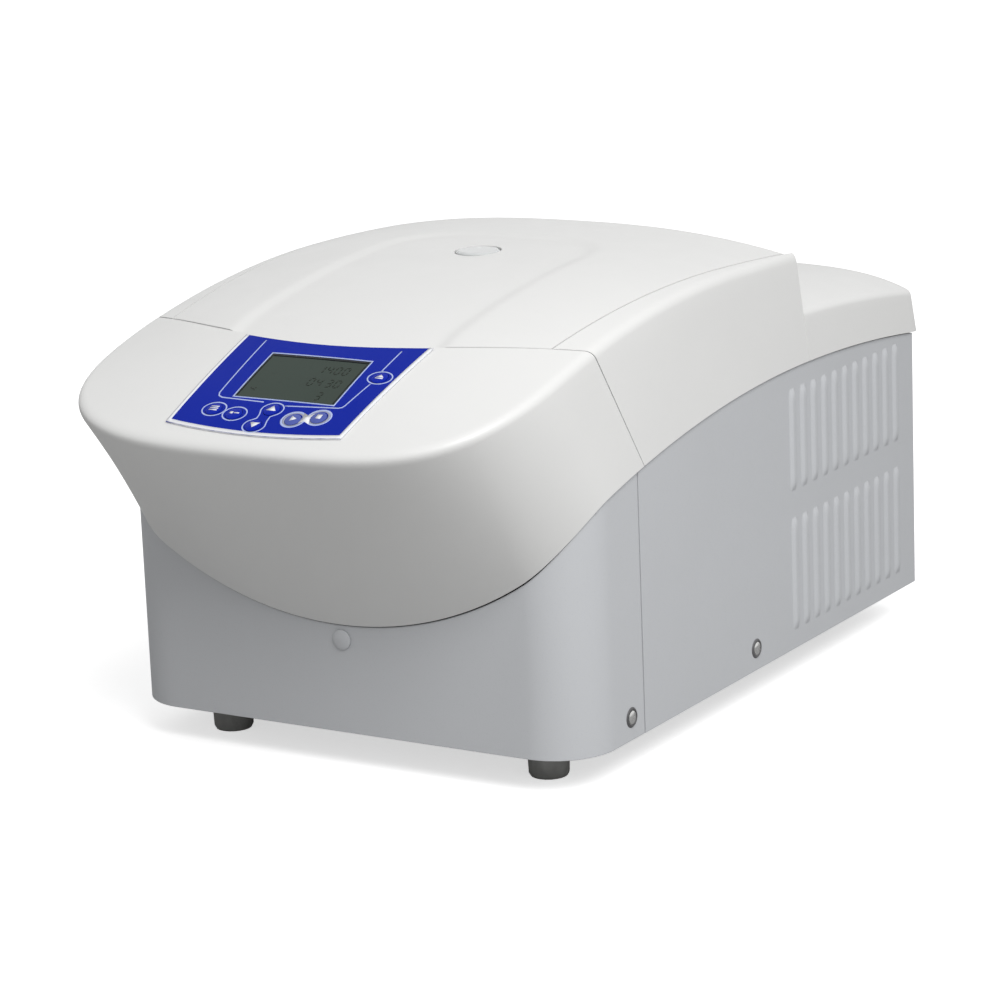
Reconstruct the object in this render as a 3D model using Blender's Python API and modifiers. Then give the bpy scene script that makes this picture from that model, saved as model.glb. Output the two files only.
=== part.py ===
"""Refrigerated microcentrifuge with a hinged lid, in metres, +Z up, standing on its feet.

X runs to the object's right, Y to its rear. Every place below is measured from the symmetry plane, from the
front plane of the lower housing and from the floor; one empty then centres the whole object over its origin.
"""

import math

import bmesh
import bpy
from mathutils import Matrix, Vector

# Clearances
GAP = 0.0003  # between two pieces that touch
SEAM = 0.0010  # open line between two covers
RUNNING = 0.0008  # round a piece that turns
EDGE_GAP = 0.0008  # under the leaning lower edge of the covers
OVERRUN = 0.004  # how far a cutter passes its work
WELD = 0.00001  # points nearer than this are one

# Lower housing
HOUSING_HALF = 0.176
HOUSING_DEPTH = 0.482
HOUSING_BASE_Z = 0.0246
HOUSING_CORNER = 0.040
HOUSING_WALL = 0.0025
SIDE_SEAM_Y = 0.0778
COVER_PROUD = 0.0015  # the white covers stand this far outside the lower housing

# Lower edge of the white covers: an arc across the front, another along each side
EDGE_FRONT_Z = 0.0973
EDGE_FRONT_RADIUS = 0.251
EDGE_APEX_Y = 0.305
EDGE_APEX_Z = 0.2205
EDGE_FORE_RADIUS = 1.08
EDGE_AFT_RADIUS = 1.45

# Roof line of the tall part, its crown and its rim
RIM_APEX_Y = 0.222
RIM_APEX_Z = 0.2958
RIM_FORE_RADIUS = 0.870
RIM_AFT_RADIUS = 1.700
RIM_LEAN_FRONT = 0.0095  # how far the walls lean in from the housing's sides
RIM_LEAN_REAR = 0.0075
RIM_HALF = HOUSING_HALF - RIM_LEAN_FRONT  # at the front seam
RIM_HALF_REAR = HOUSING_HALF - RIM_LEAN_REAR
NOSE_REACH = 0.112
NOSE_TAPER = 0.045
NOSE_POWER = 3.7
CROWN = 0.0158
CROWN_POWER = 2.5
CROWN_FULL_Y = 0.030
TALL_REAR_Y = 0.314
WALL_FOOT_FRONT_Y = 0.0846
COVER_SKIN = 0.0025
RIM_ROUND = 0.006
RIM_ROUND_SHARE = 0.8  # of a rail that is narrower than its rounding
NOSE_ROUND = 0.009
NOSE_ROUND_FROM_SHARE = 0.35
NOSE_ROUND_TO_SHARE = 0.75
NOSE_STEP_SHARE = 0.01  # of the rim's length, to find its direction
NOSE_FRONT_SHARE = 0.56  # of the rim's length that the nose's front takes

# Lid
SEAM_ARC_RADIUS = 0.335
SEAM_FRONT_Y = 0.0
RIM_FRONT_Y = SEAM_FRONT_Y + SEAM_ARC_RADIUS - math.sqrt(SEAM_ARC_RADIUS**2 - RIM_HALF**2)
RAIL_WIDTH = 0.0228
LID_HALF_FRONT = RIM_HALF - RAIL_WIDTH
LID_FLARE = 0.073
LID_BASE_Z = 0.2605
LID_DRAFT = 0.002
LID_REAR_ROUND = 0.009
RECESS_DEPTH = 0.0022
RECESS_HALF = 0.078
RECESS_REAR_Y = 0.232
RECESS_CORNER = 0.045
RECESS_SLOPE = 0.012
LINER_Z = 0.2620
LINER_THICK = 0.003
LINER_REAR_Y = 0.286

# Hinge
HINGE_Y = 0.300
HINGE_Z = 0.289
HINGE_PIN_RADIUS = 0.003
HINGE_EYE_RADIUS = 0.0055
BRACKET_X = 0.100
BRACKET_THICK = 0.004
BRACKET_FOOT_BACK = 0.0045
ARM_REACH = 0.030
ARM_EYE_SWEEP = math.radians(108)
NOTCH_CLEAR = 0.0015
NOTCH_SIDE = 0.004
NOTCH_INNER_X = BRACKET_X - NOTCH_SIDE
NOTCH_OUTER_X = BRACKET_X + 2 * BRACKET_THICK + RUNNING + NOTCH_SIDE
NOTCH_TOP_Z = HINGE_Z + HINGE_EYE_RADIUS + NOTCH_CLEAR

# Rear deck
DECK_FOOT_HALF = HOUSING_HALF + COVER_PROUD
DECK_LEAN = 0.004
DECK_HALF = DECK_FOOT_HALF - DECK_LEAN
DECK_APEX_Y = 0.250
DECK_APEX_Z = 0.2555
DECK_RADIUS = 1.68
DECK_CROWN = 0.0155
DECK_CROWN_POWER = 5
DECK_FOOT_REACH = 0.0075
DECK_REAR_LEAN = 0.001
DECK_REAR_Y = HOUSING_DEPTH + DECK_FOOT_REACH - DECK_REAR_LEAN
STEP_Y = TALL_REAR_Y + SEAM / 2 + GAP  # front face of the plate between rails and deck
STEP_LAP = 0.0010  # how far the rails and the deck reach into that plate
RAIL_REAR_Y = STEP_Y + STEP_LAP
DECK_FRONT_Y = STEP_Y + COVER_SKIN - STEP_LAP

# Chamber deck and bulkhead
TUB_Z = 0.2530
TUB_THICK = 0.002
TUB_WALL_REAR_Y = HINGE_Y - math.hypot(TALL_REAR_Y - HINGE_Y, HINGE_Z - LID_BASE_Z) - SEAM
TUB_REAR_INSET = 0.0085
TUB_REAR_HALF = RIM_HALF_REAR - TUB_REAR_INSET
TUB_REAR_Y = 0.3175
TUB_WALL_DROP = 0.008
BULKHEAD_Y = 0.306
BULKHEAD_THICK = 0.0015
BULKHEAD_INSET = 0.016
BULKHEAD_HALF = HOUSING_HALF - BULKHEAD_INSET

# Base tray and feet
TRAY_THICK = 0.002
TRAY_LIP = 0.030
FOOT_INSET_X = 0.0527
FOOT_X = HOUSING_HALF - FOOT_INSET_X
FOOT_FRONT_Y = 0.0457
FOOT_REAR_INSET = 0.052
FOOT_REAR_Y = HOUSING_DEPTH - FOOT_REAR_INSET
FOOT_RADIUS = 0.014
FOOT_TAPER_SHARE = 0.94
FOOT_TOE_SHARE = 0.86

# Side screws and release plug
SCREW_FRONT_Y = 0.0614
SCREW_REAR_Y = 0.2321
SCREW_Z = 0.0399
SCREW_HEAD_RADIUS = 0.0045
SCREW_HEAD_THICK = 0.0012
SCREW_CROWN_SHARE = 0.7
SCREW_SHANK_RADIUS = 0.0020
SCREW_LENGTH = 0.009
PLUG_Z = 0.0869
PLUG_HEAD_RADIUS = 0.0068
PLUG_HEAD_THICK = 0.0022
PLUG_STEM_RADIUS = 0.0045
PLUG_LENGTH = 0.012
PLUG_CROWN_SHARE = 0.7
PLUG_CROWN_HEIGHT_SHARE = 0.9
PLUG_EDGE_HEIGHT_SHARE = 0.4

# Vents
LOUVRES = 11
LOUVRE_FIRST_Y = 0.2935
LOUVRE_PITCH = 0.0161
LOUVRE_WIDTH = 0.0075
LOUVRE_PROUD = 0.0010
LOUVRE_SLOT = 0.003
LOUVRE_LOW_Z = (0.0370, 0.1175)
LOUVRE_HIGH_Z = (0.1345, 0.2015)

# Rotor chamber
SPIN_Y = 0.182
BOWL_RADIUS = 0.095
BOWL_WALL = 0.001
BOWL_FLOOR_Z = 0.172
BOWL_ROUND = 0.014
BOWL_FLANGE = 0.0145
BOWL_FLANGE_THICK = 0.0012
BOWL_HOLE = 0.020
GASKET_INNER = 0.0985
GASKET_WIDTH = 0.0075
COIL_WIRE_RADIUS = 0.0028
COIL_TURNS = 3
COIL_PITCH = 0.018
COIL_LOW_Z = 0.186
COIL_CLEAR = 0.0014
INSULATION_RADIUS = 0.1045
INSULATION_HALF = 0.140
INSULATION_FRONT_Y = 0.060
INSULATION_LOW_Z = 0.150
INSULATION_NECK = 0.034
SIGHT_RADIUS = 0.015
SIGHT_RIM = 0.0015
SIGHT_PROUD = 0.0006

# Drive
DAMPER_RADIUS = 0.011
DAMPER_HEIGHT = 0.028
DAMPER_CIRCLE = 0.058
DAMPER_WAIST_SHARE = 0.8
FLANGE_RADIUS = 0.072
FLANGE_THICK = 0.003
MOTOR_RADIUS = 0.050
MOTOR_SHOULDER_Z = 0.138
MOTOR_SHOULDER_SHARE = 0.92
MOTOR_NECK_RADIUS = 0.026
MOTOR_TOP_Z = 0.168
SHAFT_RADIUS = 0.006
SHAFT_TOP_Z = 0.226
SHAFT_DEPTH = 0.020

# Rotor for 24 tubes
ROTOR_HOLES = 24
ROTOR_HOLE_RADIUS = 0.0056
ROTOR_HOLE_LENGTH = 0.034
ROTOR_TILT = math.radians(45)
ROTOR_RADIUS = 0.0885
ROTOR_LOW_Z = 0.186
ROTOR_SKIRT_Z = 0.200
ROTOR_SHOULDER_Z = 0.2235
ROTOR_TOP_Z = 0.2400
ROTOR_TOP_OUTER = 0.072
ROTOR_TOP_INNER = 0.067
ROTOR_DISH_RADIUS = 0.0385
ROTOR_DISH_Z = 0.2115
ROTOR_HUB_RADIUS = 0.018
ROTOR_HUB_Z = 0.2165
ROTOR_FOOT_RADIUS = 0.070
ROTOR_HOLE_FACE_SHARE = 0.52
NUT_RADIUS = 0.0125
NUT_TOP_Z = 0.238
NUT_TOP_SHARE = 0.7
NUT_GRIP_SHARE = 0.8

# Lid hook and lock
HOOK_INSET = 0.020
HOOK_Y = SEAM_FRONT_Y + HOOK_INSET
HOOK_HALF = 0.0015
HOOK_WIDTH = 0.012
HOOK_LOW_Z = 0.2345
HOOK_HOLE_RADIUS = 0.0034
BOLT_RADIUS = 0.0026
BOLT_Z = 0.2415
BOLT_LENGTH = 0.018
BOLT_REST_X = -0.0065
LOCK_HALF = 0.030
LOCK_DEPTH = 0.034
LOCK_LOW_Z = 0.226
LOCK_SLOT_HALF = 0.0045
LOCK_SLOT_DEPTH = 0.024
LOCK_SLOT_FRONT_Y = HOOK_Y - LOCK_SLOT_DEPTH / 2
LOCK_SLOT_WALL = 0.0025  # ahead of the slot
LOCK_FRONT_Y = LOCK_SLOT_FRONT_Y - LOCK_SLOT_WALL

# Control panel
OVERLAY_LEFT = 0.0635
OVERLAY_RIGHT_REAR = 0.0755
OVERLAY_RIGHT_FRONT = 0.0665
OVERLAY_THICK = 0.0008
OVERLAY_TOP_MARGIN = 0.003
OVERLAY_FRONT_Y = -0.0868
OVERLAY_BOW = 0.0050
PANEL_SLOPE = math.radians(22)  # mean slope of the roof under the panel
SCREEN_X = 0.0068
SCREEN_HALF = 0.0366
SCREEN_REAR_Y = -0.0165
SCREEN_DEPTH = 0.0427
SCREEN_LEDGE = 0.0025
SCREEN_THICK = 0.0010
KEY_RADIUS = 0.0054
KEY_PROUD = 0.0006
KEY_STEM = 0.0070
KEY_FACE_SHARE = 0.85
KEYS = {
    "key_menu": (-0.0364, -0.0729),
    "key_set": (-0.0193, -0.0754),
    "key_up": (0.0045, -0.0689),
    "key_down": (0.0008, -0.0838),
    "key_start": (0.0246, -0.0756),
    "key_stop": (0.0410, -0.0718),
    "key_lid": (0.0590, -0.0304),
}
MODULE_HALF = 0.040
MODULE_DEPTH = 0.046
MODULE_THICK = 0.0055
MODULE_DROP = 0.0014
BOARD_HALF = 0.064
BOARD_DEPTH = 0.068
BOARD_THICK = 0.0016
BOARD_SHIFT = -0.010

# Cooling plant
COMPRESSOR_INSET = 0.088
COMPRESSOR_X = COMPRESSOR_INSET - HOUSING_HALF
COMPRESSOR_Y = 0.388
COMPRESSOR_RADIUS = 0.055
COMPRESSOR_TOP_Z = 0.180
COMPRESSOR_BASE = 0.126
COMPRESSOR_BASE_THICK = 0.004
COMPRESSOR_CAP = 0.018
COMPRESSOR_CROWN_SHARE = 0.45
COMPRESSOR_SHOULDER_SHARE = 0.85
CONDENSER_WIDTH = 0.024
CONDENSER_CLEAR = 0.0035
CONDENSER_X = HOUSING_HALF - HOUSING_WALL - CONDENSER_CLEAR - CONDENSER_WIDTH
CONDENSER_FRONT_Y = 0.322
CONDENSER_DEPTH = 0.126
CONDENSER_HEIGHT = 0.150
CONDENSER_FINS = 14
CONDENSER_SPINE = 0.006
CONDENSER_FIN_SHARE = 0.4
FAN_SIDE = 0.120
FAN_THICK = 0.022
FAN_HOLE = 0.056
FAN_HUB = 0.018
FAN_BLADE = 0.052
FAN_BLADES = 7
FAN_BLADE_THICK = 0.0018
FAN_BLADE_CHORD = 0.015
FAN_PITCH = math.radians(35)
FAN_STRUT = 0.006
FAN_ROOT_SHARE = 0.7
PIPE_RADIUS = 0.004
PIPE_BEND = 0.012
THIN_PIPE_RADIUS = 0.0036
SUCTION_BEND = 0.0096
LIQUID_BEND = 0.0048
PLANT_FLOOR = HOUSING_BASE_Z + TRAY_THICK + GAP
FAN_X = CONDENSER_X - GAP - FAN_THICK
FAN_Y = CONDENSER_FRONT_Y + CONDENSER_DEPTH / 2
FAN_Z = PLANT_FLOOR + FAN_SIDE / 2
SUCTION_X = -0.060
CAPILLARY_X = 0.045
SUCTION_Z = 0.225

# Rear connections
INLET_INSET = 0.056
INLET_X = INLET_INSET - HOUSING_HALF
INLET_Z = 0.070
INLET_HALF_WIDTH = 0.0135
INLET_HALF_HEIGHT = 0.0100
INLET_DEPTH = 0.017
INLET_WALL = 0.0025
INLET_FLANGE = 0.006
INLET_FLANGE_THICK = 0.002
INLET_PIN = 0.0022
INLET_PIN_SPACING = 0.007
SWITCH_Z = 0.112
SWITCH_HALF_WIDTH = 0.0095
SWITCH_HALF_HEIGHT = 0.0118
SWITCH_TILT = math.radians(8)
SWITCH_DEPTH = 0.012
ROCKER_HALF_HEIGHT = 0.0104
ROCKER_TAIL_SHARE = 0.7

ROUND = 28
FINE_ROUND = 40
SMALL_ROUND = 16

ORIGIN_Y = (NOSE_REACH - HOUSING_DEPTH - DECK_FOOT_REACH) / 2

WHITE = ("white_moulding", (0.80, 0.80, 0.79), 0.42, 0.0)
GREY = ("grey_housing", (0.49, 0.51, 0.53), 0.48, 0.0)
BLUE = ("blue_overlay", (0.010, 0.022, 0.35), 0.35, 0.0)
KEYCAP = ("keycap", (0.02, 0.04, 0.42), 0.38, 0.0)
SCREEN = ("display_glass", (0.10, 0.12, 0.09), 0.12, 0.0)
CLEAR = ("clear_window", (0.86, 0.88, 0.88), 0.08, 0.0)
RUBBER = ("black_rubber", (0.03, 0.03, 0.03), 0.75, 0.0)
STEEL = ("stainless_steel", (0.62, 0.62, 0.61), 0.28, 1.0)
SHEET = ("zinc_sheet", (0.55, 0.56, 0.57), 0.40, 1.0)
ALUMINIUM = ("anodised_aluminium", (0.50, 0.52, 0.55), 0.33, 1.0)
COPPER = ("copper", (0.72, 0.37, 0.22), 0.30, 1.0)
FOAM = ("insulation_foam", (0.72, 0.66, 0.45), 0.90, 0.0)
ENAMEL = ("black_enamel", (0.02, 0.02, 0.02), 0.35, 0.0)
BOARD = ("circuit_board", (0.02, 0.16, 0.07), 0.50, 0.0)
PLASTIC = ("dark_plastic", (0.05, 0.05, 0.055), 0.50, 0.0)

MODEL = "refrigerated_microcentrifuge"


# Scene and helpers


def clear_scene():
    for obj in list(bpy.data.objects):
        bpy.data.objects.remove(obj, do_unlink=True)


def collection(name):
    found = bpy.data.collections.new(name)
    bpy.context.scene.collection.children.link(found)
    return found


def finish_of(look):
    name, colour, roughness, metallic = look
    if name in bpy.data.materials:
        return bpy.data.materials[name]
    material = bpy.data.materials.new(name)
    material.use_nodes = True
    shader = material.node_tree.nodes["Principled BSDF"]
    shader.inputs["Base Color"].default_value = (*colour, 1.0)
    shader.inputs["Roughness"].default_value = roughness
    shader.inputs["Metallic"].default_value = metallic
    material.diffuse_color = (*colour, 1.0)
    return material


def add_mesh(name, bm, look=None, at=(0, 0, 0), parent=None):
    """A named object from a bmesh. Without a look it is a cutter or a helper."""
    bmesh.ops.recalc_face_normals(bm, faces=bm.faces)
    return keep_mesh(name, bm, look, at, parent)


def keep_mesh(name, bm, look=None, at=(0, 0, 0), parent=None):
    mesh = bpy.data.meshes.new(name)
    bm.to_mesh(mesh)
    bm.free()
    obj = bpy.data.objects.new(name, mesh)
    obj.location = at
    obj.parent = parent or root
    if look is None:
        obj.hide_render = True
        obj.display_type = "WIRE"
        cutters.objects.link(obj)
    else:
        mesh.materials.append(finish_of(look))
        parts.objects.link(obj)
    return obj


def axis_empty(name, at, turn=None):
    empty = bpy.data.objects.new(name, None)
    empty.location = at
    empty.empty_display_size = HINGE_EYE_RADIUS
    empty.parent = root
    if turn is not None:
        empty.rotation_euler = turn
    parts.objects.link(empty)
    return empty


def ride(obj, empty):
    """Parents a piece, placed in the housing's frame, to the empty on its joint's axis."""
    obj.parent = empty
    obj.location = Vector(obj.location) - empty.location
    return obj


def cube_bm(low, high):
    bm = bmesh.new()
    size = [b - a for a, b in zip(low, high)]
    bmesh.ops.create_cube(bm, size=1)
    bmesh.ops.scale(bm, vec=size, verts=bm.verts)
    return bm


def middle(low, high):
    return [(a + b) / 2 for a, b in zip(low, high)]


def block(name, low, high, look=None):
    """A box between two corners."""
    return add_mesh(name, cube_bm(low, high), look, middle(low, high))


AXES = {
    "X": Matrix.Rotation(math.radians(90), 3, "Y"),
    "Y": Matrix.Rotation(math.radians(-90), 3, "X"),
    "Z": Matrix.Identity(3),
}


def rod(name, radius, start, length, axis, look=None, sides=SMALL_ROUND, end_radius=None):
    """A cylinder or cone from start, running along +axis; its origin is its start."""
    bm = bmesh.new()
    bmesh.ops.create_cone(
        bm,
        cap_ends=True,
        segments=sides,
        radius1=radius,
        radius2=radius if end_radius is None else end_radius,
        depth=length,
    )
    bmesh.ops.translate(bm, vec=(0, 0, length / 2), verts=bm.verts)
    bmesh.ops.rotate(bm, matrix=AXES[axis], verts=bm.verts)
    obj = add_mesh(name, bm, look, start)
    smooth(obj)
    return obj


def smooth(obj, angle=math.radians(35)):
    obj.data.shade_smooth()
    obj.data.set_sharp_from_angle(angle=angle)


def turned(name, profile, at, look=None, steps=ROUND, axis="Z"):
    """Turns a profile of (radius, height) about the axis. It runs down the outer side, top to bottom."""
    bm = bmesh.new()
    ring = [bm.verts.new((r, 0, z)) for r, z in profile]
    for a, b in zip(ring, ring[1:]):
        bm.edges.new((a, b))
    if profile[0][0] > 0:
        bm.edges.new((ring[-1], ring[0]))
    obj = keep_mesh(name, bm, look, at)
    screw = obj.modifiers.new("turned", "SCREW")
    screw.steps = steps
    screw.render_steps = steps
    screw.use_merge_vertices = True
    screw.merge_threshold = WELD
    if axis != "Z":
        obj.rotation_euler = AXES[axis].to_euler()
    return obj


def outline_solid(name, points, thickness, at, plane, look=None):
    """A flat outline as a filled 2D curve, extruded on both sides of its plane, then made a mesh."""
    curve = bpy.data.curves.new(name, "CURVE")
    curve.dimensions = "2D"
    curve.fill_mode = "BOTH"
    curve.extrude = thickness / 2
    spline = curve.splines.new("POLY")
    spline.points.add(len(points) - 1)
    for point, (u, v) in zip(spline.points, points):
        point.co = (u, v, 0, 1)
    spline.use_cyclic_u = True
    flat = bpy.data.objects.new(name, curve)
    bpy.context.scene.collection.objects.link(flat)
    turn = {
        "XY": Matrix.Identity(3),
        "YZ": Matrix(((0, 0, 1), (1, 0, 0), (0, 1, 0))),
        "XZ": Matrix(((1, 0, 0), (0, 0, -1), (0, 1, 0))),
    }[plane]
    graph = bpy.context.evaluated_depsgraph_get()
    mesh = bpy.data.meshes.new_from_object(flat.evaluated_get(graph))
    bm = bmesh.new()
    bm.from_mesh(mesh)
    bmesh.ops.remove_doubles(bm, verts=bm.verts, dist=WELD)
    bmesh.ops.transform(bm, matrix=turn.to_4x4(), verts=bm.verts)
    bpy.data.objects.remove(flat, do_unlink=True)
    return add_mesh(name, bm, look, at)


def tube(name, points, radius, look, sides=2):
    """A pipe or wire along a polyline of points."""
    curve = bpy.data.curves.new(name, "CURVE")
    curve.dimensions = "3D"
    curve.bevel_depth = radius
    curve.bevel_resolution = sides
    curve.use_fill_caps = True
    spline = curve.splines.new("POLY")
    spline.points.add(len(points) - 1)
    for point, co in zip(spline.points, points):
        point.co = (*co, 1)
    obj = bpy.data.objects.new(name, curve)
    curve.materials.append(finish_of(look))
    obj.parent = root
    parts.objects.link(obj)
    return obj


def with_bends(corners, radius, steps=4):
    """The corners of a route with each inner corner rounded."""
    corners = [Vector(c) for c in corners]
    path = [corners[0]]
    for before, corner, after in zip(corners, corners[1:], corners[2:]):
        start = corner + (before - corner).normalized() * radius
        end = corner + (after - corner).normalized() * radius
        path += [bezier(start, corner, end, k / steps) for k in range(steps + 1)]
    return path + [corners[-1]]


def boolean(obj, other, operation):
    step = obj.modifiers.new(operation.lower() + " " + other.name, "BOOLEAN")
    step.operation = operation
    step.object = other
    step.solver = "EXACT"


def cut(obj, *others):
    for other in others:
        boolean(obj, other, "DIFFERENCE")


def join(obj, *others):
    for other in others:
        boolean(obj, other, "UNION")


def bezier(a, b, c, t):
    return a * (1 - t) ** 2 + b * 2 * t * (1 - t) + c * t**2


def smoothstep(value):
    value = min(max(value, 0), 1)
    return value * value * (3 - 2 * value)


def hollowed(obj, thickness, offset=-1):
    """Makes an open surface a shell: -1 grows it inwards, 1 outwards."""
    shell = obj.modifiers.new("wall", "SOLIDIFY")
    shell.thickness = thickness
    shell.offset = offset
    shell.use_even_offset = True


def grid_faces(bm, rows):
    """Quads between rows of vertices, which all have the same length."""
    for row, following in zip(rows, rows[1:]):
        for k in range(len(row) - 1):
            bm.faces.new((row[k], row[k + 1], following[k + 1], following[k]))


def along(path, share):
    """The point at a share of a polyline's length."""
    lengths = [(b - a).length for a, b in zip(path, path[1:])]
    left = share * sum(lengths)
    for a, b, length in zip(path, path[1:], lengths):
        if left <= length:
            return a.lerp(b, left / length)
        left -= length
    return path[-1]


# The outer form


def arc_fall(distance, fore, aft):
    """How far an arc has fallen at a distance from its apex; ahead of the apex the distance is positive."""
    radius = fore if distance > 0 else aft
    return radius - math.sqrt(radius**2 - distance**2)


def rim_z(y):
    return RIM_APEX_Z - arc_fall(RIM_APEX_Y - y, RIM_FORE_RADIUS, RIM_AFT_RADIUS)


def crown_at(y):
    share = (y + NOSE_REACH) / (CROWN_FULL_Y + NOSE_REACH)
    return CROWN * min(max(share, 0), 1)


def roof_z(x, y):
    return rim_z(y) + crown_at(y) * (1 - abs(x / RIM_HALF_REAR) ** CROWN_POWER)


def lid_z(x, y):
    """The roof with the soft shallow recess in the lid, which is open to the front."""
    across = RECESS_HALF - abs(x)
    behind = RECESS_REAR_Y - y
    reach = min(across, behind)
    if across < RECESS_CORNER and behind < RECESS_CORNER:
        reach = RECESS_CORNER - math.hypot(RECESS_CORNER - across, RECESS_CORNER - behind)
    return roof_z(x, y) - RECESS_DEPTH * smoothstep(0.5 + reach / RECESS_SLOPE)


def seam_y(x):
    """The bowed seam between front fascia and lid."""
    return SEAM_FRONT_Y + SEAM_ARC_RADIUS - math.sqrt(SEAM_ARC_RADIUS**2 - x**2)


def lid_half(y):
    return LID_HALF_FRONT + LID_FLARE * (y - seam_y(LID_HALF_FRONT))


def edge_front_z(x):
    return EDGE_FRONT_Z + EDGE_FRONT_RADIUS - math.sqrt(EDGE_FRONT_RADIUS**2 - x**2)


def edge_side_z(y):
    return EDGE_APEX_Z - arc_fall(EDGE_APEX_Y - y, EDGE_FORE_RADIUS, EDGE_AFT_RADIUS)


def edge_corner_z(share, turn):
    """The lower edge round the corner, which leaves both arcs smoothly."""
    flat = HOUSING_HALF - HOUSING_CORNER
    ahead = EDGE_APEX_Y - HOUSING_CORNER
    start_slope = flat / math.sqrt(EDGE_FRONT_RADIUS**2 - flat**2) * turn
    end_slope = ahead / math.sqrt(EDGE_FORE_RADIUS**2 - ahead**2) * turn
    start, end = edge_front_z(flat), edge_side_z(HOUSING_CORNER)
    rise = start + (end - start) * smoothstep(share)
    return rise + share * (1 - share) * (start_slope * (1 - share) - end_slope * share)


def waist(distance, proud=0.0):
    """The covers' lower edge, at a distance along the housing's outline from the middle of its front."""
    flat = HOUSING_HALF - HOUSING_CORNER
    turn = HOUSING_CORNER * math.pi / 2
    if distance <= flat:
        return Vector((distance, -proud, edge_front_z(distance)))
    if distance >= flat + turn:
        y = HOUSING_CORNER + distance - flat - turn
        return Vector((HOUSING_HALF + proud, y, edge_side_z(y)))
    angle = (distance - flat) / HOUSING_CORNER
    share = (distance - flat) / turn
    radius = HOUSING_CORNER + proud
    return Vector(
        (
            flat + radius * math.sin(angle),
            HOUSING_CORNER - radius * math.cos(angle),
            edge_corner_z(share, turn),
        )
    )


def waist_distance(y):
    """The distance along the outline at which its side is this far back."""
    return HOUSING_HALF - HOUSING_CORNER + HOUSING_CORNER * math.pi / 2 + y - HOUSING_CORNER


def nose_rim(steps=60):
    """The sharp line where roof and wall meet, in plan, from the nose's middle to the seam."""
    rear = RIM_FRONT_Y - SEAM / 2
    depth = NOSE_REACH + rear
    path = []
    for k in range(steps + 1):
        angle = math.pi / 2 * (1 - k / steps)
        ahead = depth * max(math.sin(angle), 0) ** (2 / NOSE_POWER)
        half = RIM_HALF - NOSE_TAPER * ahead
        across = half * max(math.cos(angle), 0) ** (2 / NOSE_POWER)
        path.append(Vector((across, rear - ahead, 0)))
    return path


def wall_rows(inner, rim, foot, setback, steps):
    """One strand down the wall: rounded over the rim, then straight to the lower edge."""
    down = rim + (foot - rim).normalized() * setback
    return [bezier(inner, rim, down, k / steps) for k in range(1, steps + 1)] + [foot]


def nose_strand(share, steps):
    """From the roof over the nose's rim to the lower edge; share runs from the middle, 0, to the seam, 1."""
    rim_path = nose_rim()
    here = along(rim_path, share)
    before, after = max(share - NOSE_STEP_SHARE, 0), min(share + NOSE_STEP_SHARE, 1)
    ahead = along(rim_path, after) - along(rim_path, before)
    inward = Vector((-ahead.y, ahead.x, 0)).normalized()
    seam_way = Vector((-1, -RIM_HALF / math.sqrt(SEAM_ARC_RADIUS**2 - RIM_HALF**2), 0)).normalized()
    inward = inward.lerp(seam_way, smoothstep((share - NOSE_ROUND_TO_SHARE) / (1 - NOSE_ROUND_TO_SHARE)))
    blend = smoothstep((share - NOSE_ROUND_FROM_SHARE) / (NOSE_ROUND_TO_SHARE - NOSE_ROUND_FROM_SHARE))
    rounding = NOSE_ROUND + (RIM_ROUND - NOSE_ROUND) * blend
    inner = here + inward.normalized() * rounding
    rim = Vector((here.x, here.y, roof_z(here.x, here.y)))
    inner = Vector((inner.x, inner.y, roof_z(inner.x, inner.y)))
    foot = waist(share * waist_distance(WALL_FOOT_FRONT_Y), COVER_PROUD)
    return [inner] + wall_rows(inner, rim, foot, rounding, steps)


def mirrored(point):
    return Vector((-point.x, point.y, point.z))


def coons(front, rear, left, right):
    """A patch between four edges: front and rear run left to right, left and right run front to rear."""
    across, back = len(front) - 1, len(left) - 1
    rows = []
    for j in range(back + 1):
        v = j / back
        row = []
        for i in range(across + 1):
            u = i / across
            sides = left[j] * (1 - u) + right[j] * u
            ends = front[i] * (1 - v) + rear[i] * v
            corners = (front[0] * (1 - u) + front[-1] * u) * (1 - v) + (rear[0] * (1 - u) + rear[-1] * u) * v
            row.append(sides + ends - corners)
        rows.append(row)
    return rows


def make_fascia():
    """White front: the roof ahead of the lid, the overhanging nose and its walls down to the lower edge."""
    half_front, side, rounding = 8, 10, 3
    shares = [NOSE_FRONT_SHARE * k / half_front for k in range(half_front + 1)]
    shares += [NOSE_FRONT_SHARE + (1 - NOSE_FRONT_SHARE) * k / side for k in range(1, side + 1)]
    right = [nose_strand(share, rounding) for share in shares]
    left = [[mirrored(p) for p in strand] for strand in right]
    strands = left[:0:-1] + right
    front = [s[0] for s in strands[side : side + 2 * half_front + 1]]
    left_edge = [s[0] for s in strands[side::-1]]
    right_edge = [s[0] for s in strands[side + 2 * half_front :]]
    ends = left_edge[-1], right_edge[-1]
    rear = []
    for k in range(2 * half_front + 1):
        x = ends[0].x + (ends[1].x - ends[0].x) * k / (2 * half_front)
        rear.append(Vector((x, seam_y(x) - SEAM / 2, 0)))
    rear[0], rear[-1] = ends
    bm = bmesh.new()
    rows = []
    for row in coons(front, rear, left_edge, right_edge):
        rows.append([bm.verts.new((p.x, p.y, roof_z(p.x, p.y))) for p in row])
    grid_faces(bm, rows)
    boundary = [row[0] for row in rows[:0:-1]] + rows[0] + [row[-1] for row in rows[1:]]
    walls = [boundary]
    for depth in range(1, len(strands[0])):
        walls.append([bm.verts.new(strand[depth]) for strand in strands])
    grid_faces(bm, walls)
    fascia = add_mesh("front_fascia", bm, WHITE)
    face_outwards(fascia, Vector((0, SPIN_Y, HOUSING_BASE_Z)))
    hollowed(fascia, COVER_SKIN)
    return fascia


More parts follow.
